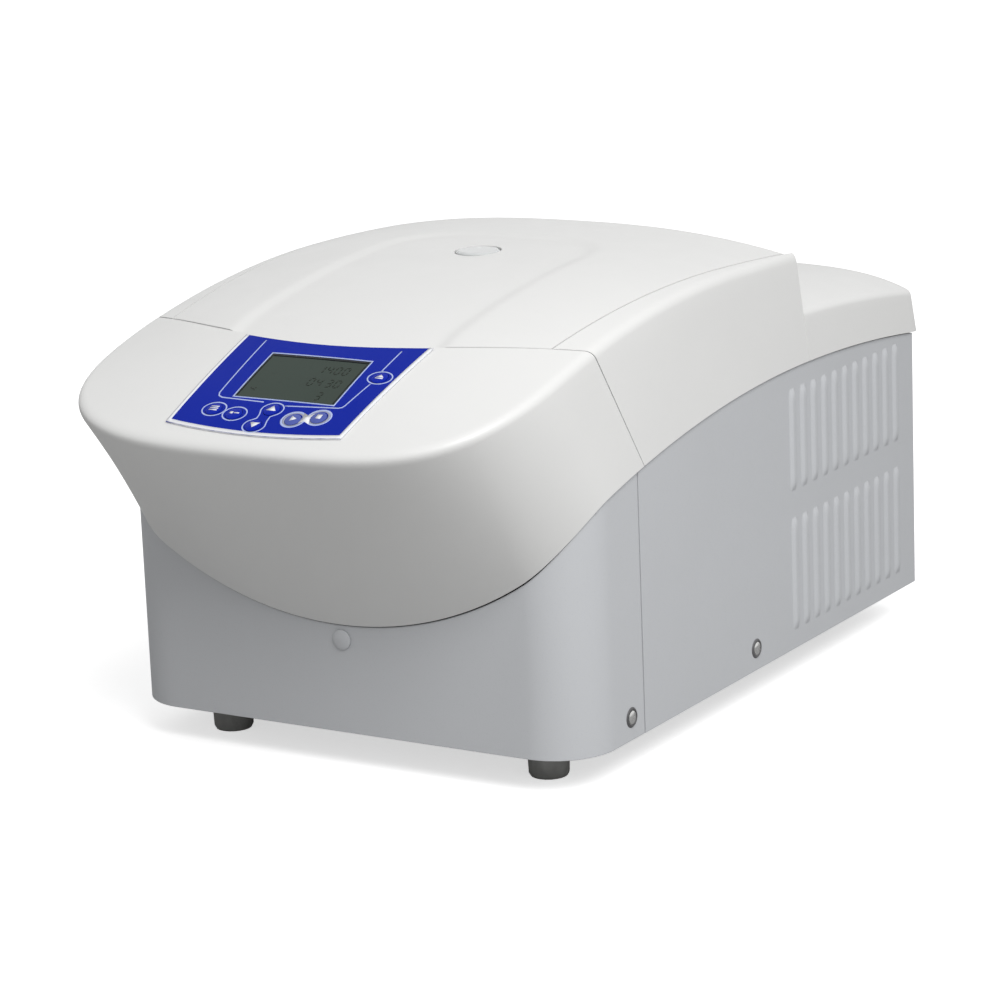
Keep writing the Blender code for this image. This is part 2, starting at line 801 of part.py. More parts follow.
def face_outwards(obj, inside):
    """Turns an open surface's faces away from a point inside it, which recalculating can't tell."""
    face = max(obj.data.polygons, key=lambda polygon: polygon.area)
    if (face.center - inside).dot(face.normal) < 0:
        obj.data.flip_normals()


def lid_columns():
    """Where the lid's columns of points lie, as shares of its half width; two follow the recess's slope."""
    inner = (RECESS_HALF - RECESS_SLOPE / 2) / LID_HALF_FRONT
    outer = (RECESS_HALF + RECESS_SLOPE / 2) / LID_HALF_FRONT
    right = [inner / 2, inner] + [outer + (1 - outer) * k / 3 for k in range(4)]
    return [-share for share in right[::-1]] + [0] + right


def make_lid():
    """White lid shell with its flange all round and two notches for the hinge."""
    rows_back = 12
    across = lid_columns()
    flat_rear = TALL_REAR_Y - LID_REAR_ROUND
    bm = bmesh.new()
    rows = []
    for j in range(rows_back + 1):
        row = []
        for share in across:
            front = seam_y(share * LID_HALF_FRONT) + SEAM / 2
            y = front + (flat_rear - front) * j / rows_back
            x = share * lid_half(y)
            row.append(bm.verts.new((x, y, lid_z(x, y))))
        rows.append(row)
    for k in range(1, 4):
        row = []
        for share in across:
            x = share * lid_half(TALL_REAR_Y)
            inner = Vector((x, flat_rear, roof_z(x, flat_rear)))
            rim = Vector((x, TALL_REAR_Y, roof_z(x, TALL_REAR_Y)))
            down = rim - Vector((0, 0, LID_REAR_ROUND))
            row.append(bm.verts.new(bezier(inner, rim, down, k / 3)))
        rows.append(row)
    grid_faces(bm, rows)
    skirt_down(bm, LID_BASE_Z, LID_DRAFT)
    lid = add_mesh("lid_shell", bm, WHITE)
    face_outwards(lid, Vector((0, SPIN_Y, LID_BASE_Z)))
    hollowed(lid, COVER_SKIN)
    for side in (-1, 1):
        low_x, high_x = sorted((side * NOTCH_INNER_X, side * NOTCH_OUTER_X))
        low = (low_x, TALL_REAR_Y - 2 * COVER_SKIN, LID_BASE_Z - OVERRUN)
        high = (high_x, TALL_REAR_Y + OVERRUN, NOTCH_TOP_Z)
        cut(lid, block(f"hinge_notch_{'left' if side < 0 else 'right'}", low, high))
    hole_low = LINER_Z - OVERRUN
    hole_length = roof_z(0, SPIN_Y) + OVERRUN - hole_low
    sight_hole = rod("sight_hole", SIGHT_RADIUS + GAP, (0, SPIN_Y, hole_low), hole_length, "Z", sides=ROUND)
    cut(lid, sight_hole)
    return lid, sight_hole


def skirt_down(bm, base, draft):
    """Extends the boundary of an open surface straight down to a level, drawn in a little."""
    boundary = [edge for edge in bm.edges if edge.is_boundary]
    grown = bmesh.ops.extrude_edge_only(bm, edges=boundary)["geom"]
    for vert in grown:
        if isinstance(vert, bmesh.types.BMVert):
            middle_y = (SEAM_FRONT_Y + TALL_REAR_Y) / 2
            vert.co.x -= math.copysign(draft, vert.co.x) if abs(vert.co.x) > RECESS_HALF else 0
            vert.co.y += draft if vert.co.y < middle_y else 0
            vert.co.z = base


def lid_outline(inset, rear_y, steps=10):
    """The lid's outline in plan, drawn in by inset, back to rear_y, from the rear left round the front."""
    half = LID_HALF_FRONT - inset
    front = []
    for k in range(steps + 1):
        x = half * (-1 + 2 * k / steps)
        front.append((x, seam_y(x) + inset))
    rear_half = lid_half(rear_y) - inset
    return [(-rear_half, rear_y)] + front + [(rear_half, rear_y)]


def make_liner(sight_hole):
    inset = COVER_SKIN + LID_DRAFT + 2 * SEAM
    points = lid_outline(inset, LINER_REAR_Y)
    liner = outline_solid("lid_liner", points, LINER_THICK, (0, 0, LINER_Z + LINER_THICK / 2), "XY", WHITE)
    cut(liner, sight_hole)
    return liner


def make_tub():
    """Chamber deck: a plate under the lid with low walls on three sides."""
    points = lid_outline(-SEAM, TUB_WALL_REAR_Y)
    corners = ((1, TUB_WALL_REAR_Y), (1, TUB_REAR_Y), (-1, TUB_REAR_Y), (-1, TUB_WALL_REAR_Y))
    rear = [(side * TUB_REAR_HALF, y) for side, y in corners]
    bm = bmesh.new()
    floor = [bm.verts.new((x, y, TUB_Z + TUB_THICK)) for x, y in points + rear]
    bm.faces.new(floor)
    wall = [bm.verts.new((x, y, roof_z(x, y) - TUB_WALL_DROP)) for x, y in points]
    for k in range(len(points) - 1):
        bm.faces.new((floor[k], floor[k + 1], wall[k + 1], wall[k]))
    tub = add_mesh("chamber_deck", bm, WHITE)
    face_outwards(tub, Vector((0, SPIN_Y, RIM_APEX_Z)))
    hollowed(tub, TUB_THICK, 1)
    return tub


def strip(side, name):
    """One side of the top cover: the rail beside the lid, its rounded rim and the wall below it."""
    rows_back, rounding = 8, 3
    bm = bmesh.new()
    rows = []
    for j in range(rows_back + 1):
        v = j / rows_back
        rim_y = RIM_FRONT_Y + SEAM / 2 + (RAIL_REAR_Y - RIM_FRONT_Y - SEAM / 2) * v
        rim_x = RIM_HALF + (RIM_HALF_REAR - RIM_HALF) * v
        edge_front = seam_y(LID_HALF_FRONT + SEAM) + SEAM / 2
        edge_y = edge_front + (RAIL_REAR_Y - edge_front) * v
        edge_x = lid_half(edge_y) + SEAM
        inner_front = seam_y(RIM_HALF - RIM_ROUND) + SEAM / 2
        rounding_in = min(RIM_ROUND, (rim_x - edge_x) * RIM_ROUND_SHARE)
        inner = Vector((rim_x - rounding_in, inner_front + (RAIL_REAR_Y - inner_front) * v, 0))
        inner.z = roof_z(inner.x, inner.y)
        rim = Vector((rim_x, rim_y, roof_z(rim_x, rim_y)))
        foot_y = WALL_FOOT_FRONT_Y + SEAM / 2 + (RAIL_REAR_Y - WALL_FOOT_FRONT_Y - SEAM / 2) * v
        foot = waist(waist_distance(foot_y), COVER_PROUD)
        strand = [Vector((edge_x, edge_y, roof_z(edge_x, edge_y))), inner]
        strand += wall_rows(inner, rim, foot, RIM_ROUND, rounding)
        rows.append([bm.verts.new((side * p.x, p.y, p.z)) for p in strand])
    grid_faces(bm, rows)
    piece = add_mesh(name, bm, None)
    face_outwards(piece, Vector((0, SPIN_Y, HOUSING_BASE_Z)))
    return piece


def deck_top(x, y):
    fall = arc_fall(DECK_APEX_Y - y, DECK_RADIUS, DECK_RADIUS)
    return DECK_APEX_Z - fall + DECK_CROWN * (1 - abs(x / DECK_HALF) ** DECK_CROWN_POWER)


def make_step_plate():
    """The upright plate that closes the deck's front and carries the rails' rear ends."""
    half_skin = COVER_SKIN / 2
    low_z = edge_side_z(TALL_REAR_Y) + COVER_SKIN
    flange_z = TUB_Z + TUB_THICK + GAP
    top_half = DECK_HALF - RIM_ROUND
    right = [(top_half * k / 8, deck_top(top_half * k / 8, STEP_Y) - half_skin) for k in range(9)]
    right.append((DECK_HALF - half_skin, deck_top(DECK_HALF, STEP_Y) - RIM_ROUND))
    right.append((DECK_FOOT_HALF - half_skin, low_z))
    right.append((HOUSING_HALF - COVER_SKIN, low_z))
    right.append((RIM_HALF_REAR - COVER_SKIN, flange_z))
    left = [(-x, z) for x, z in right[:0:-1]]
    return outline_solid("step_plate", left + right, COVER_SKIN, (0, STEP_Y + half_skin, 0), "XZ")


def make_top_cover():
    """White top cover: two side rails with their walls, and the low deck behind the lid."""
    columns, rows_back, rounding = 10, 4, 3
    inner_half = DECK_HALF - RIM_ROUND
    inner_rear = DECK_REAR_Y - RIM_ROUND
    bm = bmesh.new()
    rows = []
    for j in range(rows_back + 1):
        y = DECK_FRONT_Y + (inner_rear - DECK_FRONT_Y) * j / rows_back
        row = []
        for i in range(columns + 1):
            x = inner_half * (-1 + 2 * i / columns)
            row.append(bm.verts.new((x, y, deck_top(x, y))))
        rows.append(row)
    grid_faces(bm, rows)
    boundary = [row[0] for row in rows[:-1]] + rows[-1] + [row[-1] for row in rows[-2::-1]]
    strands = []
    for vert in boundary:
        side = 0 if abs(vert.co.x) < inner_half - GAP else math.copysign(1, vert.co.x)
        rear = vert.co.y > inner_rear - GAP
        rim = Vector((side * DECK_HALF if side else vert.co.x, DECK_REAR_Y if rear else vert.co.y, 0))
        rim.z = deck_top(rim.x, rim.y)
        foot_y = HOUSING_DEPTH + DECK_FOOT_REACH if rear else rim.y
        foot_x = side * DECK_FOOT_HALF if side else rim.x
        foot = Vector((foot_x, foot_y, edge_side_z(min(foot_y, HOUSING_DEPTH))))
        strands.append(wall_rows(vert.co.copy(), rim, foot, RIM_ROUND, rounding))
    walls = [boundary]
    for depth in range(len(strands[0])):
        walls.append([bm.verts.new(strand[depth]) for strand in strands])
    grid_faces(bm, walls)
    cover = add_mesh("top_cover", bm, WHITE)
    face_outwards(cover, Vector((0, DECK_REAR_Y - RIM_ROUND, HOUSING_BASE_Z)))
    hollowed(cover, COVER_SKIN)
    join(cover, make_step_plate())
    for side in (-1, 1):
        rail = strip(side, f"rail_{side_word(side)}")
        hollowed(rail, COVER_SKIN)
        join(cover, rail)
    return cover


# Lower housing and frame


def make_front_housing():
    """Grey front: a flat face with rounded corners and short sides, cut to the covers' lower edge."""
    end = waist_distance(SIDE_SEAM_Y)
    flat = HOUSING_HALF - HOUSING_CORNER
    turn = HOUSING_CORNER * math.pi / 2
    stops = [flat * k / 4 for k in range(5)]
    stops += [flat + turn * k / 6 for k in range(1, 7)]
    stops += [flat + turn + (end - flat - turn) * k / 2 for k in (1, 2)]
    right = [waist(s) for s in stops]
    top = [mirrored(p) for p in right[:0:-1]] + right
    bm = bmesh.new()
    low = [bm.verts.new((p.x, p.y, HOUSING_BASE_Z)) for p in top]
    high = [bm.verts.new((p.x, p.y, p.z - EDGE_GAP)) for p in top]
    grid_faces(bm, [low, high])
    front = add_mesh("front_housing", bm, GREY)
    face_outwards(front, Vector((0, SPIN_Y, HOUSING_BASE_Z)))
    hollowed(front, HOUSING_WALL)
    length = 2 * OVERRUN + HOUSING_WALL
    plug_hole = rod("plug_hole", PLUG_STEM_RADIUS + GAP, (0, -OVERRUN, PLUG_Z), length, "Y")
    cut(front, plug_hole)
    for side in (-1, 1):
        cut(front, screw_hole(side, SCREW_FRONT_Y))
    return front


def side_word(side):
    return "left" if side < 0 else "right"


def screw_hole(side, y):
    length = SCREW_LENGTH + 2 * OVERRUN
    start = side * (HOUSING_HALF + OVERRUN) - (length if side > 0 else 0)
    return rod(f"screw_hole_{side_word(side)}_{'front' if y == SCREW_FRONT_Y else 'rear'}",
               SCREW_SHANK_RADIUS + GAP, (start, y, SCREW_Z), length, "X")


def make_side_panel(side):
    """Grey side panel with two rows of upright louvres."""
    word = side_word(side)
    front, rear = SIDE_SEAM_Y + SEAM, HOUSING_DEPTH
    count = 8
    top = []
    for k in range(count + 1):
        y = rear + (front - rear) * k / count
        top.append((y, edge_side_z(y) - EDGE_GAP))
    points = [(front, HOUSING_BASE_Z), (rear, HOUSING_BASE_Z)] + top
    centre = side * (HOUSING_HALF - HOUSING_WALL / 2)
    panel = outline_solid(f"side_panel_{word}", points, HOUSING_WALL, (centre, 0, 0), "YZ", GREY)
    slots = bmesh.new()
    ribs = bmesh.new()
    for low_z, high_z in (LOUVRE_LOW_Z, LOUVRE_HIGH_Z):
        for k in range(LOUVRES):
            y = LOUVRE_FIRST_Y + LOUVRE_PITCH * k
            add_box(slots, (-HOUSING_WALL, y, low_z), (HOUSING_WALL, y + LOUVRE_SLOT, high_z))
            add_wedge(ribs, side, y - LOUVRE_WIDTH + LOUVRE_SLOT / 2, y - GAP, low_z, high_z)
    louvre_slots = add_mesh(f"louvre_slots_{word}", slots, None, (centre, 0, 0))
    louvre_ribs = add_mesh(f"louvre_ribs_{word}", ribs, None, (side * HOUSING_HALF, 0, 0))
    join(panel, louvre_ribs)
    cut(panel, louvre_slots)
    cut(panel, screw_hole(side, SCREW_REAR_Y))
    return panel


def add_box(bm, low, high):
    made = bmesh.ops.create_cube(bm, size=1)["verts"]
    bmesh.ops.scale(bm, vec=[b - a for a, b in zip(low, high)], verts=made)
    bmesh.ops.translate(bm, vec=middle(low, high), verts=made)


def add_wedge(bm, side, front, rear, low_z, high_z):
    """A louvre: it rises out of the panel towards the rear, where its slot opens."""
    sunk = -side * HOUSING_WALL / 2
    proud = side * LOUVRE_PROUD
    ends = []
    for z in (low_z, high_z):
        corners = ((sunk, front), (0, front), (proud, rear), (sunk, rear))
        ends.append([bm.verts.new((x, y, z)) for x, y in corners])
    for k in range(4):
        bm.faces.new((ends[0][k], ends[0][(k + 1) % 4], ends[1][(k + 1) % 4], ends[1][k]))
    bm.faces.new(ends[0][::-1])
    bm.faces.new(ends[1])


def tray_outline(inset):
    """The base's outline in plan: rounded in front, square at the rear."""
    radius = HOUSING_CORNER - inset
    centre = HOUSING_HALF - HOUSING_CORNER
    right = []
    for k in range(7):
        angle = math.pi / 2 * k / 6
        right.append((centre + radius * math.sin(angle), HOUSING_CORNER - radius * math.cos(angle)))
    right.append((HOUSING_HALF - inset, HOUSING_DEPTH - inset))
    return right + [(-x, y) for x, y in right[::-1]]


def make_tray():
    bm = bmesh.new()
    floor = [bm.verts.new((x, y, HOUSING_BASE_Z)) for x, y in tray_outline(HOUSING_WALL + GAP)]
    wall = [bm.verts.new((v.co.x, v.co.y, HOUSING_BASE_Z + TRAY_LIP)) for v in floor]
    bm.faces.new(floor)
    for k in range(len(floor)):
        after = (k + 1) % len(floor)
        bm.faces.new((floor[k], floor[after], wall[after], wall[k]))
    tray = add_mesh("base_tray", bm, SHEET)
    face_outwards(tray, Vector((0, SPIN_Y, HOUSING_BASE_Z + TRAY_LIP)))
    hollowed(tray, TRAY_THICK)
    for side in (-1, 1):
        for word in ("front", "rear"):
            cut(tray, bpy.data.objects[f"screw_hole_{side_word(side)}_{word}"])
    return tray


def make_feet():
    for side in (-1, 1):
        for word, y in (("front", FOOT_FRONT_Y), ("rear", FOOT_REAR_Y)):
            height = HOUSING_BASE_Z - GAP
            profile = [
                (0, height),
                (FOOT_RADIUS, height),
                (FOOT_RADIUS * FOOT_TAPER_SHARE, TRAY_THICK),
                (FOOT_RADIUS * FOOT_TOE_SHARE, 0),
                (0, 0),
            ]
            turned(f"foot_{word}_{side_word(side)}", profile, (side * FOOT_X, y, 0), RUBBER, 20)


def make_side_screws():
    for side in (-1, 1):
        for word, y in (("front", SCREW_FRONT_Y), ("rear", SCREW_REAR_Y)):
            head_x = HOUSING_HALF + GAP
            profile = [
                (0, SCREW_HEAD_THICK),
                (SCREW_HEAD_RADIUS * SCREW_CROWN_SHARE, SCREW_HEAD_THICK),
                (SCREW_HEAD_RADIUS, SCREW_HEAD_THICK / 3),
                (SCREW_HEAD_RADIUS, 0),
                (SCREW_SHANK_RADIUS, 0),
                (SCREW_SHANK_RADIUS, -SCREW_LENGTH),
                (0, -SCREW_LENGTH),
            ]
            place = (side * head_x, y, SCREW_Z)
            screw = turned(f"side_screw_{side_word(side)}_{word}", profile, place, STEEL, 12)
            screw.rotation_euler = (0, side * math.pi / 2, 0)


def make_plug():
    empty = axis_empty("release_plug_axis", (0, 0, PLUG_Z))
    profile = [
        (0, PLUG_HEAD_THICK),
        (PLUG_HEAD_RADIUS * PLUG_CROWN_SHARE, PLUG_HEAD_THICK * PLUG_CROWN_HEIGHT_SHARE),
        (PLUG_HEAD_RADIUS, PLUG_HEAD_THICK * PLUG_EDGE_HEIGHT_SHARE),
        (PLUG_HEAD_RADIUS, 0),
        (PLUG_STEM_RADIUS, 0),
        (PLUG_STEM_RADIUS, -PLUG_LENGTH),
        (0, -PLUG_LENGTH),
    ]
    plug = turned("release_plug", profile, (0, -GAP, PLUG_Z), WHITE, 20)
    plug.rotation_euler = (math.pi / 2, 0, 0)
    ride(plug, empty)


def make_rear_panel():
    low = (-HOUSING_HALF + HOUSING_WALL + GAP, HOUSING_DEPTH - HOUSING_WALL, HOUSING_BASE_Z)
    high = (HOUSING_HALF - HOUSING_WALL - GAP, HOUSING_DEPTH, edge_side_z(HOUSING_DEPTH) - EDGE_GAP)
    panel = block("rear_panel", low, high, GREY)
    margin = INLET_WALL + GAP
    for name, half_width, half_height, z in (
        ("inlet_hole", INLET_HALF_WIDTH, INLET_HALF_HEIGHT, INLET_Z),
        ("switch_hole", SWITCH_HALF_WIDTH, SWITCH_HALF_HEIGHT, SWITCH_Z),
    ):
        low = (INLET_X - half_width - margin, HOUSING_DEPTH - HOUSING_WALL - OVERRUN, z - half_height - margin)
        high = (INLET_X + half_width + margin, HOUSING_DEPTH + OVERRUN, z + half_height + margin)
        cut(panel, block(name, low, high))
    return panel


def make_bulkhead():
    low = (-BULKHEAD_HALF, BULKHEAD_Y, HOUSING_BASE_Z + TRAY_THICK + GAP)
    high = (BULKHEAD_HALF, BULKHEAD_Y + BULKHEAD_THICK, TUB_Z - GAP)
    plate = block("bulkhead", low, high, SHEET)
    length = BULKHEAD_THICK + 2 * OVERRUN
    for name, x in (("suction_hole", SUCTION_X), ("capillary_hole", CAPILLARY_X)):
        cut(plate, rod(name, PIPE_RADIUS + GAP, (x, BULKHEAD_Y - OVERRUN, SUCTION_Z), length, "Y"))
    return plate


# Rotor chamber and drive


def make_bowl():
    top = TUB_Z + TUB_THICK + GAP + BOWL_FLANGE_THICK
    outer = BOWL_RADIUS + BOWL_WALL
    flange = outer + BOWL_FLANGE
    profile = [(flange, top), (flange, top - BOWL_FLANGE_THICK), (outer, top - BOWL_FLANGE_THICK)]
    profile += bowl_corner(outer, BOWL_FLOOR_Z - BOWL_WALL, BOWL_ROUND + BOWL_WALL)
    profile += [(BOWL_HOLE, BOWL_FLOOR_Z - BOWL_WALL), (BOWL_HOLE, BOWL_FLOOR_Z)]
    profile += bowl_corner(BOWL_RADIUS, BOWL_FLOOR_Z, BOWL_ROUND)[::-1]
    profile += [(BOWL_RADIUS, top)]
    return turned("rotor_bowl", profile, (0, SPIN_Y, 0), STEEL, FINE_ROUND)


def bowl_corner(radius, floor, rounding, steps=3):
    points = []
    for k in range(steps + 1):
        angle = math.pi / 2 * k / steps
        across, down = rounding * math.cos(angle), rounding * math.sin(angle)
        points.append((radius - rounding + across, floor + rounding - down))
    return points


def make_coil():
    """Evaporator tube wound round the bowl in one unbroken helix."""
    radius = BOWL_RADIUS + BOWL_WALL + COIL_CLEAR + COIL_WIRE_RADIUS
    per_turn = 24
    points = []
    for k in range(COIL_TURNS * per_turn + 1):
        angle = 2 * math.pi * k / per_turn
        z = COIL_LOW_Z + COIL_PITCH * k / per_turn
        points.append((radius * math.cos(angle), SPIN_Y + radius * math.sin(angle), z))
    least = min(
        (Vector(points[k]) - Vector(points[k + per_turn])).length for k in range(len(points) - per_turn)
    )
    print("evaporator coil: least gap to itself", round(least - 2 * COIL_WIRE_RADIUS, 5), "m")
    return tube("evaporator_coil", points, COIL_WIRE_RADIUS, COPPER, sides=1)


def make_insulation():
    low = (-INSULATION_HALF, INSULATION_FRONT_Y, INSULATION_LOW_Z)
    high = (INSULATION_HALF, BULKHEAD_Y - GAP, TUB_Z - GAP)
    foam = block("chamber_insulation", low, high, FOAM)
    pocket_z = BOWL_FLOOR_Z - BOWL_WALL - GAP
    length = TUB_Z - pocket_z + OVERRUN
    pocket = rod("foam_pocket", INSULATION_RADIUS, (0, SPIN_Y, pocket_z), length, "Z", sides=ROUND)
    neck = rod("foam_neck", INSULATION_NECK, (0, SPIN_Y, INSULATION_LOW_Z - OVERRUN),
               pocket_z - INSULATION_LOW_Z + 2 * OVERRUN, "Z", sides=ROUND)
    cut(foam, pocket, neck)
    for name, x in (("foam_suction_hole", SUCTION_X), ("foam_capillary_hole", CAPILLARY_X)):
        start = (x, SPIN_Y + INSULATION_RADIUS / 2, SUCTION_Z)
        cut(foam, rod(name, PIPE_RADIUS + GAP, start, BULKHEAD_Y - start[1] + OVERRUN, "Y"))
    return foam


def make_gasket():
    low, high = TUB_Z + TUB_THICK + 2 * GAP + BOWL_FLANGE_THICK, LINER_Z - GAP
    inner, outer = GASKET_INNER, GASKET_INNER + GASKET_WIDTH
    shoulder = (high - low) / 3
    profile = [(outer, high), (outer, low + shoulder), (outer - shoulder, low), (inner + shoulder, low),
               (inner, low + shoulder), (inner, high)]
    return turned("lid_gasket", profile, (0, SPIN_Y, 0), RUBBER, FINE_ROUND)


def make_sight_glass():
    top = lid_z(0, SPIN_Y)
    profile = [
        (0, top + SIGHT_PROUD),
        (SIGHT_RADIUS - SIGHT_RIM, top + SIGHT_PROUD),
        (SIGHT_RADIUS, top - SIGHT_PROUD),
        (SIGHT_RADIUS, LINER_Z),
        (0, LINER_Z),
    ]
    return turned("sight_glass", profile, (0, SPIN_Y, 0), CLEAR, ROUND)


def make_drive():
    floor = HOUSING_BASE_Z + TRAY_THICK + GAP
    for k, word in enumerate(("front", "rear_left", "rear_right")):
        angle = math.radians(-90 - 120 * k)
        place = (DAMPER_CIRCLE * math.cos(angle), SPIN_Y + DAMPER_CIRCLE * math.sin(angle), floor)
        waist_radius = DAMPER_RADIUS * DAMPER_WAIST_SHARE
        profile = [
            (0, DAMPER_HEIGHT),
            (DAMPER_RADIUS, DAMPER_HEIGHT),
            (waist_radius, DAMPER_HEIGHT / 2),
            (DAMPER_RADIUS, 0),
            (0, 0),
        ]
        turned(f"motor_damper_{word}", profile, place, RUBBER, SMALL_ROUND)
    base = floor + DAMPER_HEIGHT + GAP
    bore = SHAFT_RADIUS + GAP
    socket_z = MOTOR_TOP_Z - SHAFT_DEPTH - GAP
    profile = [
        (0, MOTOR_TOP_Z),
        (MOTOR_NECK_RADIUS, MOTOR_TOP_Z),
        (MOTOR_NECK_RADIUS, MOTOR_SHOULDER_Z + FLANGE_THICK),
        (MOTOR_RADIUS * MOTOR_SHOULDER_SHARE, MOTOR_SHOULDER_Z),
        (MOTOR_RADIUS, MOTOR_SHOULDER_Z - FLANGE_THICK),
        (MOTOR_RADIUS, base + FLANGE_THICK),
        (FLANGE_RADIUS, base + FLANGE_THICK),
        (FLANGE_RADIUS, base),
        (0, base),
    ]
    motor = turned("drive_motor", profile, (0, SPIN_Y, 0), ENAMEL)
    cut(motor, rod("motor_bore", bore, (0, SPIN_Y, socket_z), SHAFT_DEPTH + OVERRUN, "Z"))
    shaft_z = MOTOR_TOP_Z - SHAFT_DEPTH
    spin = axis_empty("rotor_spin_axis", (0, SPIN_Y, ROTOR_LOW_Z))
    seat = ROTOR_HUB_Z - ROTOR_LOW_Z
    shaft_profile = [
        (0, SHAFT_TOP_Z),
        (SHAFT_RADIUS, SHAFT_TOP_Z),
        (SHAFT_RADIUS, shaft_z),
        (0, shaft_z),
    ]
    ride(turned("drive_shaft", shaft_profile, (0, SPIN_Y, 0), STEEL, SMALL_ROUND), spin)
    ride(make_rotor(), spin)
    nut_low = ROTOR_HUB_Z + GAP
    nut = turned(
        "rotor_nut",
        [
            (0, NUT_TOP_Z),
            (NUT_RADIUS * NUT_TOP_SHARE, NUT_TOP_Z),
            (NUT_RADIUS * NUT_GRIP_SHARE, nut_low + seat / 3),
            (NUT_RADIUS, nut_low + seat / 5),
            (NUT_RADIUS, nut_low),
            (0, nut_low),
        ],
        (0, SPIN_Y, 0),
        STEEL,
        20,
    )
    nut_bore = SHAFT_TOP_Z - nut_low + GAP
    cut(nut, rod("nut_bore", bore, (0, SPIN_Y, nut_low - OVERRUN), nut_bore + OVERRUN, "Z"))
    ride(nut, spin)


def make_rotor():
    """Angle rotor: its 24 tube holes are drilled square to the dished face."""
    bore = SHAFT_RADIUS + GAP
    profile = [
        (ROTOR_TOP_INNER, ROTOR_TOP_Z),
        (ROTOR_TOP_OUTER, ROTOR_TOP_Z),
        (ROTOR_RADIUS, ROTOR_SHOULDER_Z),
        (ROTOR_RADIUS, ROTOR_SKIRT_Z),
        (ROTOR_FOOT_RADIUS, ROTOR_LOW_Z),
        (bore, ROTOR_LOW_Z),
        (bore, ROTOR_HUB_Z),
        (ROTOR_HUB_RADIUS, ROTOR_HUB_Z),
        (ROTOR_HUB_RADIUS, ROTOR_DISH_Z),
        (ROTOR_DISH_RADIUS, ROTOR_DISH_Z),
    ]
    rotor = turned("rotor", profile, (0, SPIN_Y, 0), ALUMINIUM, FINE_ROUND)
    face_r = ROTOR_DISH_RADIUS + (ROTOR_TOP_INNER - ROTOR_DISH_RADIUS) * ROTOR_HOLE_FACE_SHARE
    face_z = ROTOR_DISH_Z + (ROTOR_TOP_Z - ROTOR_DISH_Z) * ROTOR_HOLE_FACE_SHARE
    tools = bmesh.new()
    length = ROTOR_HOLE_LENGTH + OVERRUN
    for k in range(ROTOR_HOLES):
        made = bmesh.ops.create_cone(
            tools,
            cap_ends=True,
            segments=8,
            radius1=ROTOR_HOLE_RADIUS,
            radius2=ROTOR_HOLE_RADIUS,
            depth=length,
        )["verts"]
        bmesh.ops.translate(tools, vec=(0, 0, OVERRUN - length / 2), verts=made)
        lean = Matrix.Rotation(-ROTOR_TILT, 3, "Y")
        bmesh.ops.rotate(tools, matrix=lean, verts=made)
        bmesh.ops.translate(tools, vec=(face_r, 0, face_z), verts=made)
        bmesh.ops.rotate(tools, matrix=Matrix.Rotation(2 * math.pi * k / ROTOR_HOLES, 3, "Z"), verts=made)
    holes = add_mesh("tube_holes", tools, None, (0, SPIN_Y, 0))
    cut(rotor, holes)
    return rotor


# Lid mechanics


def make_hinge(lid_axis):
    for side in (-1, 1):
        word = side_word(side)
        foot_z = TUB_Z + TUB_THICK + GAP
        pin_hole = rod(f"pin_hole_{word}", HINGE_PIN_RADIUS + GAP,
                       (side * BRACKET_X - 3 * BRACKET_THICK, HINGE_Y, HINGE_Z), 6 * BRACKET_THICK, "X")
        points = [(HINGE_Y - BRACKET_FOOT_BACK, foot_z), (HINGE_Y + BRACKET_FOOT_BACK, foot_z)]
        points += eye_points(HINGE_Y, HINGE_Z, HINGE_EYE_RADIUS, 0, math.pi)
        centre = side * (BRACKET_X + BRACKET_THICK / 2)
        bracket = outline_solid(f"hinge_bracket_{word}", points, BRACKET_THICK, (centre, 0, 0), "YZ", SHEET)
        cut(bracket, pin_hole)
        arm_foot = LINER_Z + LINER_THICK + GAP
        front = LINER_REAR_Y - ARM_REACH / 2
        points = [(front, arm_foot), (LINER_REAR_Y, arm_foot)]
        points += eye_points(HINGE_Y, HINGE_Z, HINGE_EYE_RADIUS, -math.pi / 2, ARM_EYE_SWEEP)
        points += [(front, HINGE_Z)]
        centre += side * (BRACKET_THICK + RUNNING)
        arm = outline_solid(f"hinge_arm_{word}", points, BRACKET_THICK, (centre, 0, 0), "YZ", SHEET)
        cut(arm, pin_hole)
        ride(arm, lid_axis)
    reach = BRACKET_X + 2 * BRACKET_THICK + RUNNING
    rod("hinge_pin", HINGE_PIN_RADIUS, (-reach, HINGE_Y, HINGE_Z), 2 * reach, "X", STEEL)


def eye_points(y, z, radius, start, sweep, steps=8):
    return [
        (y + radius * math.cos(start + sweep * k / steps), z + radius * math.sin(start + sweep * k / steps))
        for k in range(steps + 1)
    ]


